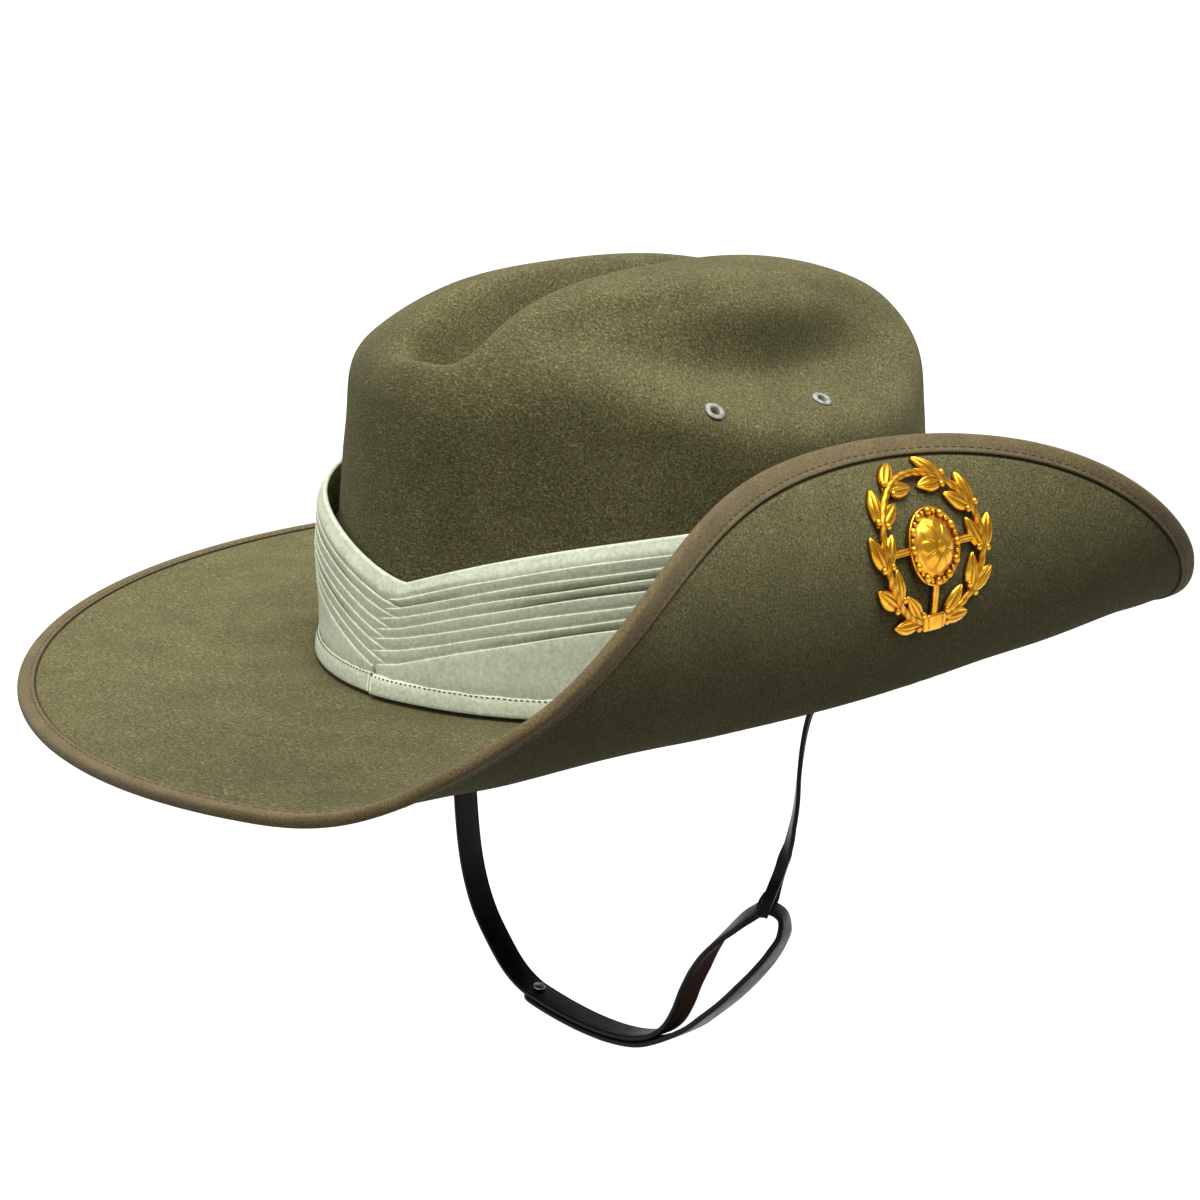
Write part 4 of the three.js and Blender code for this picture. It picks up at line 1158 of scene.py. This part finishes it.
def stem_shell(casting):
    turn = np.linspace(0, 2 * math.pi, 160, endpoint=False)[:, None]
    round_way = np.linspace(0, 2 * math.pi, 10, endpoint=False)
    bark = 0.1 * np.sin(40 * turn + 2 * round_way)
    reach = wreath_radius + (stem_radius + bark) * np.cos(round_way)
    out = stem_radius + (stem_radius + bark) * np.sin(round_way)
    shell = spots(reach * np.cos(turn), reach * np.sin(turn), out)
    # Painted shade: half over the whole stem, darker in the bark's grooves and lighter on its
    # ridges.
    casting.add(shell, 0.5 - 4 * bark, ring_faces(160, 10, closed_rows=True))


def boss_shell(casting):
    """A dome with an eight-petalled flower in low relief, a bead channel and a roped rim."""
    turn = np.linspace(0, 2 * math.pi, 144, endpoint=False)[None, :]
    share = np.linspace(1, 0, 34)[:, None]
    inner = 1 - 2 * bead_radius / boss_radius
    within = np.clip(share / inner, 0, 1)
    dome = boss_dome * (1 - within**2.2)
    petal = np.abs(np.cos(4 * turn)) ** 0.5
    leaf = np.clip(within / 0.24 - 1, 0, 1) * np.clip((0.55 + 0.37 * petal - within) * 9, 0, 1)
    groove = np.exp(-((np.cos(4 * turn) / 0.25) ** 2)) * leaf
    button = np.sqrt(np.clip(1 - (within / 0.2) ** 2, 0, 1))
    rim = np.exp(-(((share - 0.975) / 0.03) ** 2)) * (1 + 0.25 * np.sin(56 * turn))
    channel = np.exp(-(((share - 0.86) / 0.07) ** 2))
    top = boss_thickness + dome + 0.42 * leaf - 0.4 * groove + 0.45 * button + 0.3 * rim
    top = top - 0.35 * channel
    radius = boss_radius * share
    # Painted shade in the bead channel, the petals' grooves, the ground round the petals and on the
    # foot; none on the middle button.
    shade_share = np.clip(channel + groove + (1 - leaf) * (within < 0.92) * 0.55 - button, 0, 1)
    top, shade_share = np.broadcast_arrays(top, shade_share + 0 * top)
    foot = np.array([0.0, 0.0, 0.6, 1.3])[:, None] + 0 * turn
    reach = np.array([0.0, 0.985, 1.0, 1.0])[:, None] * boss_radius
    radius = np.concatenate((reach, radius))
    out = np.concatenate((foot, top))
    shade_share = np.concatenate((1 + 0 * foot, shade_share))
    shell = spots(radius * np.cos(turn), radius * np.sin(turn), out)
    casting.add(shell, shade_share, ring_faces(len(shell), 144))


def tie_shell(casting):
    """The ribbon's wraps: a pillow with four slanting grooves."""
    polar, turn = np.meshgrid(
        np.linspace(0, math.pi, 25), np.linspace(0, 2 * math.pi, 48, endpoint=False), indexing="ij"
    )

    def full(value, power):
        return np.sign(value) * np.abs(value) ** power

    x = full(np.cos(polar), 0.45)
    y = full(np.sin(polar), 0.45) * full(np.cos(turn), 0.5)
    z = full(np.sin(polar), 0.45) * full(np.sin(turn), 0.5)
    wraps = np.abs(np.cos(2.5 * math.pi * (x + 0.12 * y))) ** 0.5
    swell = 0.86 + 0.14 * wraps
    pillow = spots(
        x * tie_width / 2,
        -wreath_radius + y * swell * tie_height / 2,
        tie_thickness / 2 * (1 + z * swell),
    )
    # Painted shade in the grooves between the ribbon's wraps.
    casting.add(pillow, 1.3 * (1 - wraps), ring_faces(25, 48))


def lug_shells(casting):
    """Loops on short stems behind the boss, in the ornament's own straight frame."""
    round_way = np.linspace(0, 2 * math.pi, 28, endpoint=False)[:, None]
    wire = np.linspace(0, 2 * math.pi, 10, endpoint=False)
    reach = lug_loop + lug_wire * np.cos(wire)
    for side in (1, -1):
        x = side * lug_spacing / 2 + lug_wire * np.sin(wire) + 0 * round_way
        y, z = reach * np.cos(round_way), reach * np.sin(round_way) - pin_depth
        # The lugs and their stems take a fixed half share of the painted shade.
        casting.add(spots(x, y, z), 0.5, ring_faces(28, 10, closed_rows=True))
        low, high = lug_loop - pin_depth, boss_thickness / 2 + badge_stand
        stem = spots(
            side * lug_spacing / 2 + 0.8 * np.cos(wire),
            0.8 * np.sin(wire),
            np.array([low, (low + high) / 2, high])[:, None],
        )
        faces = ring_faces(3, 10) + [tuple(range(10)), tuple(range(29, 19, -1))]
        casting.add(stem, 0.6, faces)


def badge_piece():
    curved, straight = Casting(), Casting()
    stem_shell(curved)
    span = math.pi - math.radians(wreath_gap)
    for side in (1, -1):
        for index in range(leaves_per_branch):
            turn = span * (index + first_leaf_share) / leaves_per_branch - math.pi / 2
            for lean in (1, -1):
                reach = wreath_radius + lean * leaf_width * leaf_foot_share
                middle = (side * reach * math.cos(turn), reach * math.sin(turn))
                heading = turn + math.pi / 2 - lean * math.radians(leaf_spread)
                leaf_shell(curved, middle, heading if side > 0 else math.pi - heading)
            berry_turn = turn - 0.32 * span / leaves_per_branch
            for lean in (1.9, -1.9):
                reach = wreath_radius + lean
                middle = (side * reach * math.cos(berry_turn), reach * math.sin(berry_turn), 1.3)
                ball_shell(curved, middle, 1.05)
    reach = wreath_radius - stem_radius
    bar_shell(curved, (-reach, 0), (reach, 0), spoke_width, boss_thickness)
    bar_shell(curved, (0, -reach), (0, 0), spoke_width, boss_thickness)
    boss_shell(curved)
    for index in range(bead_count):
        turn = 2 * math.pi * index / bead_count
        ring = boss_radius - bead_radius
        middle = (ring * math.cos(turn), ring * math.sin(turn), boss_thickness)
        ball_shell(curved, middle, bead_radius)
        turn += math.pi / bead_count
        middle = (ring * math.cos(turn), ring * math.sin(turn), boss_thickness)
        ball_shell(curved, middle, 0.55 * bead_radius)
    tie_shell(curved)
    lug_shells(straight)
    flat = np.concatenate(curved.points)
    placed = flap_point(flat[:, 0], flat[:, 1], badge_stand + flat[:, 2])
    behind = np.concatenate(straight.points) @ badge_axes + badge_seat
    faces = curved.faces + [tuple(len(flat) + c for c in face) for face in straight.faces]
    made = add_mesh("badge_wreath", np.concatenate((placed, behind)), faces)
    # Each point's share of painted shade goes onto the mesh for the gilt to read.
    depth = made.data.attributes.new("hollow", "FLOAT", "POINT")
    depth.data.foreach_set("value", np.array(curved.hollow + straight.hollow, np.float32))
    mend_mesh(made.data)
    return made


def gilt_metal():
    material, tree, shader = new_material("gilt casting")
    place = add_node(tree, "ShaderNodeTexCoord").outputs["Object"]
    shade_share = add_node(tree, "ShaderNodeAttribute", {"attribute_name": "hollow"}).outputs["Fac"]
    cloud = add_node(tree, "ShaderNodeTexNoise", Vector=place, Scale=260, Detail=4).outputs["Fac"]
    grain = add_node(tree, "ShaderNodeTexNoise", Vector=place, Scale=1500, Detail=3).outputs["Fac"]
    worn = ramp(tree, cloud, (0.35, colour(222, 156, 34)), (0.65, colour(246, 186, 62)))
    # Painted shade: where the shells mark shade, in hollows, grooves and on undersides, the gilt
    # darkens to dark brown and grows rougher.
    shade_mask = ramp(tree, shade_share, (0.15, black_and_white(0)), (0.85, black_and_white(0.85)))
    base = mixed(tree, shade_mask, worn, colour(138, 84, 16))
    tree.links.new(base, shader.inputs["Base Color"])
    rough = ramp(tree, cloud, (0.3, black_and_white(0.2)), (0.7, black_and_white(0.34)))
    rougher = mixed(tree, shade_mask, rough, black_and_white(0.5))
    tree.links.new(rougher, shader.inputs["Roughness"])
    bump = add_node(tree, "ShaderNodeBump", Strength=0.3, Distance=0.0001, Height=grain)
    tree.links.new(bump.outputs["Normal"], shader.inputs["Normal"])
    shader.inputs["Metallic"].default_value = 1
    return material


finish_piece(badge_piece(), gilt_metal(), "gilt", "badge")
lug_places = [
    (badge_axes, badge_seat + side * lug_spacing / 2 * badge_axes[0]) for side in (1, -1)
]
punch(felt, lug_places, lug_hole)


def worn_metal(name, dull, bright, roughness):
    """Drawn or stamped metal with fine scratches and duller patches."""
    material, tree, shader = new_material(name)
    place = add_node(tree, "ShaderNodeTexCoord").outputs["Object"]
    patch = add_node(tree, "ShaderNodeTexNoise", Vector=place, Scale=420, Detail=4).outputs["Fac"]
    tone = ramp(tree, patch, (0.35, dull), (0.65, bright))
    tree.links.new(tone, shader.inputs["Base Color"])
    low, high = black_and_white(roughness - 0.08), black_and_white(roughness + 0.12)
    tree.links.new(ramp(tree, patch, (0.35, high), (0.65, low)), shader.inputs["Roughness"])
    scratch = add_node(tree, "ShaderNodeTexNoise", Vector=place, Scale=3000, Detail=2)
    bump = add_node(
        tree, "ShaderNodeBump", Strength=0.2, Distance=0.0001, Height=scratch.outputs["Fac"]
    )
    tree.links.new(bump.outputs["Normal"], shader.inputs["Normal"])
    shader.inputs["Metallic"].default_value = 1
    return material


# Straight pin
# A plain brass wire pushed through both lugs inside the flap, which keeps the ornament on.
pin_half = pin_length / 2
pin_profile = [
    (0.0, -pin_half),
    (0.45, -pin_half + 0.08),
    (0.72, -pin_half + 0.35),
    (pin_radius, -pin_half + 0.8),
    (pin_radius, 0.0),
    (pin_radius, pin_half - 0.8),
    (0.72, pin_half - 0.35),
    (0.45, pin_half - 0.08),
    (0.0, pin_half),
]
pin_points, pin_faces = lathe(pin_profile, 24)
pin_points = pin_points[:, [2, 0, 1]] - (0, 0, pin_depth)
pin = add_mesh("badge_straight_pin", pin_points @ badge_axes + badge_seat, pin_faces)
mend_mesh(pin.data)
brass = worn_metal("brass wire", colour(160, 124, 58), colour(210, 172, 92), 0.32)
finish_piece(pin, brass, "pin_metal", "badge_pin")

# Flap clasp
# A small block of nickelled metal between crown and flap that holds the flap up. Its edges
# are eased.
clasp_edge = 0.45


def clasp_piece():
    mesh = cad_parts["brim_clasp"].data.copy()
    mesh.materials.clear()
    work = bmesh.new()
    work.from_mesh(mesh)
    bmesh.ops.remove_doubles(work, verts=work.verts, dist=0.00001)
    bmesh.ops.dissolve_limit(
        work, angle_limit=math.radians(4), verts=work.verts, edges=work.edges
    )
    bmesh.ops.bevel(
        work,
        geom=work.edges[:],
        offset=clasp_edge * MM,
        segments=3,
        profile=0.5,
        affect="EDGES",
        clamp_overlap=True,
    )
    bmesh.ops.recalc_face_normals(work, faces=work.faces)
    work.to_mesh(mesh)
    work.free()
    mesh.shade_smooth()
    made = bpy.data.objects.new("brim_clasp_block", mesh)
    scene.collection.objects.link(made)
    return made


nickel = worn_metal("nickelled metal", colour(120, 120, 114), colour(176, 176, 168), 0.34)
finish_piece(clasp_piece(), nickel, "clasp_metal", "brim_clasp")

# Chin strap
# Black strap leather, smooth on its grain side and rough brown on its flesh side. The long
# strap runs under the chin, turns over through the short strap's keeper and is studded back
# on itself, so that its length can be set.
strap_width, strap_thickness, strap_drop = 9.5, 1.8, 138
seat_heights, seat_slack = (16, 9, 2), 0.8
keeper_width, short_thickness, keeper_room = 3.6, 1.4, 1.5
layer_step, first_doubled, over_spot = 2.2, 6, 8
stud_hole, stud_head, stud_head_thickness, stud_from_end = 1, 2.2, 0.9, 4.5
strap_fineness = 10
hanging_spots = [
    {"x": -0.955, "drop": 0.3},
    {"x": -0.952, "drop": 0.53},
    {"x": -0.914, "drop": 0.7},
    {"x": -0.85, "drop": 0.8},
    {"x": -0.76, "drop": 0.873},
    {"x": -0.67, "drop": 0.927},
    {"x": -0.578, "drop": 0.957},
    {"x": -0.482, "drop": 0.969},
    {"x": -0.358, "drop": 0.979},
    {"x": -0.22, "drop": 0.984},
    {"x": -0.081, "drop": 0.981},
    {"x": 0.046, "drop": 0.967},
    {"x": 0.139, "drop": 0.943},
]
loop_spots = [
    {"x": 0.208, "drop": 0.907},
    {"x": 0.259, "drop": 0.857},
    {"x": 0.296, "drop": 0.804},
    {"x": 0.342, "drop": 0.75},
    {"x": 0.396, "y": -0.006, "drop": 0.699, "yaw": 10},
    {"x": 0.469, "y": -0.017, "drop": 0.647, "yaw": 25},
    {"x": 0.544, "y": -0.023, "drop": 0.604, "yaw": 38},
    {"x": 0.613, "y": -0.017, "drop": 0.568, "yaw": 44},
    {"x": 0.665, "y": 0.012, "drop": 0.546, "yaw": 46},
    {"x": 0.713, "y": 0.04, "drop": 0.562, "yaw": 36},
    {"x": 0.728, "y": 0.035, "drop": 0.598, "yaw": 22},
    {"x": 0.706, "y": 0.017, "drop": 0.638, "yaw": 12},
    {"x": 0.657, "y": 0.006, "drop": 0.685, "yaw": 5},
    {"x": 0.579, "drop": 0.742},
    {"x": 0.49, "drop": 0.799},
    {"x": 0.402, "drop": 0.848},
    {"x": 0.313, "drop": 0.895},
]
short_spots = [
    {"x": 0.94, "drop": 0.012, "yaw": 10},
    {"x": 0.9, "drop": 0.037, "yaw": 24},
    {"x": 0.862, "drop": 0.072, "yaw": 34},
    {"x": 0.836, "drop": 0.127, "yaw": 38},
    {"x": 0.819, "drop": 0.2, "yaw": 41, "width": 9},
    {"x": 0.81, "drop": 0.271, "yaw": 46, "width": 7.5},
    {"x": 0.794, "drop": 0.33, "yaw": 50, "width": 6},
    {"x": 0.772, "drop": 0.385, "yaw": 66, "width": 4.6},
]


def across_at(yaw):
    return np.array([math.sin(math.radians(yaw)), -math.cos(math.radians(yaw)), 0.0])


def route(table):
    """Spots of a strap: middle, direction across and width."""
    listed = []
    for row in table:
        x, y = row["x"] * half_width, row.get("y", 0) * half_width
        middle = np.array([x, y, -row["drop"] * strap_drop])
        listed.append((middle, across_at(row.get("yaw", 0)), row.get("width", strap_width)))
    return listed


def wall_seats(side, thickness):
    """The strap's end lies flat on the crown's inner wall."""
    inner = [crown_point(math.pi / 2, height)[0] for height in seat_heights]
    reach = np.array(inner) - felt_wall - seat_slack - thickness / 2
    return [
        (np.array([side * x, 0.0, height]), across_at(0), strap_width)
        for x, height in zip(reach, seat_heights)
    ]


def smooth_route(spot_list, fineness):
    """A smooth run through the spots: middles, directions across and widths."""
    middles = np.array([spot[0] for spot in spot_list])
    padded = np.concatenate(
        ([2 * middles[0] - middles[1]], middles, [2 * middles[-1] - middles[-2]])
    )
    steps = np.sqrt(np.linalg.norm(np.diff(padded, axis=0), axis=1))
    run = []
    for place in np.linspace(0, len(middles) - 1, fineness * (len(middles) - 1) + 1):
        low = min(int(place), len(middles) - 2)
        share = place - low
        before, first, second, after = padded[low : low + 4]
        step_in, step, step_out = steps[low : low + 3]
        leave = (first - before) / step_in - (second - before) / (step_in + step)
        leave = (leave + (second - first) / step) * step
        arrive = (second - first) / step - (after - first) / (step + step_out)
        arrive = (arrive + (after - second) / step_out) * step
        middle = first + share * leave
        middle = middle + share**2 * (3 * (second - first) - 2 * leave - arrive)
        middle = middle + share**3 * (2 * (first - second) + leave + arrive)
        across = (1 - share) * spot_list[low][1] + share * spot_list[low + 1][1]
        width = (1 - share) * spot_list[low][2] + share * spot_list[low + 1][2]
        run.append((middle, across, width))
    middles, acrosses, widths = (np.array(part) for part in zip(*run))
    return middles, unit(acrosses), widths


def strap_axes(middles, acrosses):
    """Unit directions along, across and out of the face of a strap."""
    after = np.concatenate((middles[1:], middles[-1:]))
    along = unit(after - np.concatenate((middles[:1], middles[:-1])))
    face = unit(np.cross(acrosses, along))
    return along, np.cross(along, face), face


def strap_piece(name, run, thickness, grain, rounded_end):
    """A strap whose grain side is the face (1) or the back (-1); the end may be rounded."""
    middles, acrosses, widths = run
    along, across, face = strap_axes(middles, acrosses)
    reached = run_lengths(middles)
    if rounded_end:
        to_end = np.clip((reached[-1] - reached) / (widths / 2), 0, 1)
        widths = widths * np.maximum(np.sqrt(1 - (1 - to_end) ** 2), 0.1)
    section = [(1, 0.0), (0.985, 0.6), (0.94, 0.93), (0.85, 1), (0.78, 0.9), (0.7, 1), (0.35, 1.05)]
    half_section = section + [(0, 1.06)]
    grain_side = half_section + [(-s, t) for s, t in reversed(section)]
    flesh_side = [(-0.985, -0.6), (-0.94, -0.93), (-0.84, -1), (-0.8, -1), (-0.4, -1), (0, -1)]
    flesh_side += [(0.4, -1), (0.8, -1), (0.84, -1), (0.94, -0.93), (0.985, -0.6)]
    outline = np.array(grain_side + flesh_side)
    flesh = ((outline[:, 1] < -0.99) & (np.abs(outline[:, 0]) < 0.82)).astype(float)
    sideways = outline[:, 0][None, :, None] * across[:, None] * widths[:, None, None] / 2
    lifted = grain * outline[:, 1][None, :, None] * face[:, None] * thickness / 2
    rows = middles[:, None] + sideways + lifted
    count = len(outline)
    faces = ring_faces(len(rows), count)
    last = (len(rows) - 1) * count
    faces += [tuple(range(count)), tuple(range(last + count - 1, last - 1, -1))]
    made = add_mesh(name, rows.reshape(-1, 3), faces)
    rough_side = made.data.attributes.new("flesh", "FLOAT", "POINT")
    rough_side.data.foreach_set("value", np.tile(flesh, len(rows)).astype(np.float32))
    down = made.data.attributes.new("down the strap", "FLOAT", "POINT")
    down.data.foreach_set("value", np.repeat(reached * MM, count).astype(np.float32))
    mend_mesh(made.data)
    return made


def strap_leather():
    material, tree, shader = new_material("black strap leather")
    place = add_node(tree, "ShaderNodeTexCoord").outputs["Object"]
    flesh = add_node(tree, "ShaderNodeAttribute", {"attribute_name": "flesh"}).outputs["Fac"]
    down = add_node(tree, "ShaderNodeAttribute", {"attribute_name": "down the strap"}).outputs["Fac"]
    pebble = add_node(
        tree, "ShaderNodeTexVoronoi", {"feature": "DISTANCE_TO_EDGE"}, Vector=place, Scale=1500
    ).outputs["Distance"]
    cloud = add_node(tree, "ShaderNodeTexNoise", Vector=place, Scale=180, Detail=4).outputs["Fac"]
    nap = add_node(tree, "ShaderNodeTexNoise", Vector=place, Scale=2200, Detail=4).outputs["Fac"]
    ridges = add_node(
        tree, "ShaderNodeTexNoise", {"noise_dimensions": "1D"}, W=down, Scale=1400, Detail=2
    ).outputs["Fac"]
    rough_side = ramp(tree, flesh, (0.35, black_and_white(0)), (0.75, black_and_white(1)))
    grain_tone = ramp(tree, cloud, (0.3, colour(6, 6, 6)), (0.7, colour(14, 13, 14)))
    fibre = computed(tree, "MULTIPLY", nap, ridges)
    flesh_tone = ramp(
        tree, fibre, (0.15, colour(38, 25, 20)), (0.38, colour(92, 66, 54))
    )
    base = mixed(tree, rough_side, grain_tone, flesh_tone)
    tree.links.new(base, shader.inputs["Base Color"])
    gloss = ramp(tree, cloud, (0.3, black_and_white(0.28)), (0.7, black_and_white(0.42)))
    rough = mixed(tree, rough_side, gloss, black_and_white(0.9))
    tree.links.new(rough, shader.inputs["Roughness"])
    skin = ramp(tree, pebble, (0.0, black_and_white(0)), (0.2, black_and_white(0.4)))
    height = mixed(tree, rough_side, skin, fibre)
    bump = add_node(tree, "ShaderNodeBump", Strength=0.35, Distance=0.0001, Height=height)
    tree.links.new(bump.outputs["Normal"], shader.inputs["Normal"])
    shader.inputs["Specular IOR Level"].default_value = 0.11
    return material


def return_spots():
    """The doubled stretch lies flat under the strap, back towards its start."""
    hanging = route(hanging_spots)
    doubled = []
    for index in range(len(hanging) - 1, first_doubled - 1, -1):
        after = hanging[min(index + 1, len(hanging) - 1)][0]
        along = unit(after - hanging[index - 1][0])
        down = np.array([along[2], 0, -along[0]])
        middle, across, width = hanging[index]
        doubled.append((middle + layer_step * down, across, width))
    return doubled


leather = strap_leather()
long_spots = wall_seats(-1, strap_thickness) + route(hanging_spots) + route(loop_spots)
long_spots += return_spots()
long_run = smooth_route(long_spots, strap_fineness)
long_strap = strap_piece("long_strap_leather", long_run, strap_thickness, 1, True)
finish_piece(long_strap, leather, "strap_leather", "chin_strap_long")


def keeper_spots():
    """Down one side of the long strap, under it and back up to the short strap's foot."""
    at = strap_fineness * (len(seat_heights) + len(hanging_spots) + over_spot)
    over = long_run[0][at]
    along, across, face = (axis[at] for axis in strap_axes(long_run[0], long_run[1]))
    foot = route(short_spots)[-1][0]
    half_layer = (short_thickness + 0.3) / 2
    mouth = strap_width / 2 + keeper_room + short_thickness / 2
    depth = strap_thickness / 2 + keeper_room + short_thickness / 2
    table = [
        (0.3, half_layer, 0),
        (0.5, half_layer * 1.6, 0),
        (0.78, mouth * 0.72, 0),
        (1, mouth, 0),
        (1, mouth * 0.72, depth * 0.8),
        (1, 0, depth),
        (1, -mouth * 0.72, depth * 0.8),
        (1, -mouth, 0),
        (0.78, -mouth * 0.72, 0),
        (0.5, -half_layer * 1.6, 0),
        (0.3, -half_layer, 0),
    ]
    return [
        (foot + share * (over - foot) + reach * across + sink * face, along, keeper_width)
        for share, reach, sink in table
    ]


keeper = keeper_spots()
short_list = wall_seats(1, short_thickness) + route(short_spots) + keeper
short_run = smooth_route(short_list, strap_fineness)
short_strap = strap_piece("short_strap_leather", short_run, short_thickness, -1, False)
finish_piece(short_strap, leather, "strap_leather", "chin_strap_short")


def seat_stitches(side, thickness):
    """Each strap's end is sewn to the crown's inner wall round a small rectangle."""
    corners = [(-3.4, 3.4), (3.4, 3.4), (3.4, 14.6), (-3.4, 14.6)]
    spots_round = []
    for (y0, z0), (y1, z1) in zip(corners, corners[1:] + corners[:1]):
        for share in np.linspace(0, 1, 8, endpoint=False):
            spots_round.append((y0 + share * (y1 - y0), z0 + share * (z1 - z0)))
    y, z = np.array(spots_round).T
    wall = crown_point(math.pi / 2, z)[..., 0] - felt_wall - seat_slack - thickness
    return spots(side * (wall - 0.05), y, z), np.tile((-side, 0.0, 0.0), (len(y), 1))


stitch_row(
    "strap_seat_stitches",
    [seat_stitches(-1, strap_thickness), seat_stitches(1, short_thickness)],
    thread_material("black thread", colour(40, 36, 32)),
    "strap_leather",
    pitch=2.2,
    length=1.7,
    radius=0.22,
)

# Strap stud
# A turned metal stud with a flat head on each side, through the doubled end of the long strap.
stud_half = (strap_thickness + layer_step) / 2 + 0.45
stud_outer = stud_half + stud_head_thickness
stud_profile = [
    (0.0, -stud_outer - 0.1),
    (stud_head * 0.6, -stud_outer),
    (stud_head * 0.92, -stud_outer + 0.2),
    (stud_head, -stud_outer + 0.5),
    (stud_head * 0.95, -stud_half),
    (stud_hole, -stud_half),
    (stud_hole, stud_half),
    (stud_head * 0.95, stud_half),
    (stud_head, stud_outer - 0.5),
    (stud_head * 0.92, stud_outer - 0.2),
    (stud_head * 0.6, stud_outer),
    (0.0, stud_outer + 0.1),
]


def stud_piece():
    end, inner = long_run[0][-1], long_run[0][-2]
    along = unit(inner - end)
    out = unit(np.array([along[2], 0, -along[0]]))
    middle = end + stud_from_end * along - out * layer_step / 2
    first = unit(np.array([0.0, 1.0, 0.0]) - out[1] * out)
    axes = np.array([first, np.cross(out, first), out])
    points, faces = lathe(stud_profile, 36)
    made = add_mesh("strap_stud_turned", points @ axes + middle, faces)
    mend_mesh(made.data)
    return made


finish_piece(stud_piece(), nickel, "stud_metal", "strap_stud")

# Keeper rivet
# One small tubular rivet closes the keeper where its two legs meet the short strap's foot.
rivet_profile = [
    (0.0, -1.9),
    (0.55, -1.85),
    (0.85, -1.6),
    (0.85, -1.45),
    (0.4, -1.45),
    (0.4, 1.45),
    (0.85, 1.45),
    (0.85, 1.6),
    (0.55, 1.85),
    (0.0, 1.9),
]
rivet_points, rivet_faces = lathe(rivet_profile, 20)
rivet_middle = (keeper[1][0] + keeper[-2][0]) / 2
rivet_out = unit(keeper[1][0] - keeper[-2][0])
rivet_side = unit(np.cross(rivet_out, keeper[1][1]))
rivet_axes = np.array([rivet_side, np.cross(rivet_out, rivet_side), rivet_out])
rivet = add_mesh("keeper_rivet", rivet_points @ rivet_axes + rivet_middle, rivet_faces)
mend_mesh(rivet.data)
finish_piece(rivet, nickel, "stud_metal")

# Floor and light
# A plain pale floor well below the hanging strap, a very broad soft light overhead, a weak
# one from the front and a pale surround, as in a product studio.
floor_height, floor_reach = -0.34, 14
floor_mesh = bpy.data.meshes.new("floor")
floor_mesh.from_pydata(
    [
        (x * floor_reach, y * floor_reach, floor_height)
        for x, y in ((-1, -1), (1, -1), (1, 1), (-1, 1))
    ],
    [],
    [(0, 1, 2, 3)],
)
floor = bpy.data.objects.new("floor", floor_mesh)
scene.collection.objects.link(floor)
paper, paper_tree, paper_shader = new_material("pale paper")
paper_shader.inputs["Base Color"].default_value = (0.6, 0.6, 0.595, 1)
paper_shader.inputs["Roughness"].default_value = 0.9
floor_mesh.materials.append(paper)
floor.visible_diffuse = False


def add_sky_light(name, azimuth, elevation, spread, power):
    """A very broad light, given by where it stands: azimuth from the front towards the left."""
    light = bpy.data.lights.new(name, "SUN")
    light.angle, light.energy = math.radians(spread), power
    made = bpy.data.objects.new(name, light)
    azimuth, elevation = math.radians(azimuth), math.radians(elevation)
    stands = Vector(
        (
            math.sin(azimuth) * math.cos(elevation),
            -math.cos(azimuth) * math.cos(elevation),
            math.sin(elevation),
        )
    )
    made.rotation_euler = (-stands).to_track_quat("-Z", "Y").to_euler()
    scene.collection.objects.link(made)


add_sky_light("overhead", 110, 83, 55, 4.9)
add_sky_light("front fill", -25, 25, 70, 0.4)
scene.world = scene.world or bpy.data.worlds.new("studio")
scene.world.use_nodes = True
sky = scene.world.node_tree
surround = sky.nodes["Background"]
direction = add_node(sky, "ShaderNodeTexCoord").outputs["Generated"]
rising = add_node(sky, "ShaderNodeSeparateXYZ", Vector=direction).outputs["Z"]
raised = add_node(sky, "ShaderNodeMapRange", Value=rising, From_Min=-1.0, From_Max=1.0)
walls = ramp(
    sky, raised.outputs["Result"], (0.42, black_and_white(0.1)), (0.62, black_and_white(0.5))
)
sky.links.new(walls, surround.inputs["Color"])
surround.inputs["Strength"].default_value = 1
scene.view_settings.view_transform = "Standard"
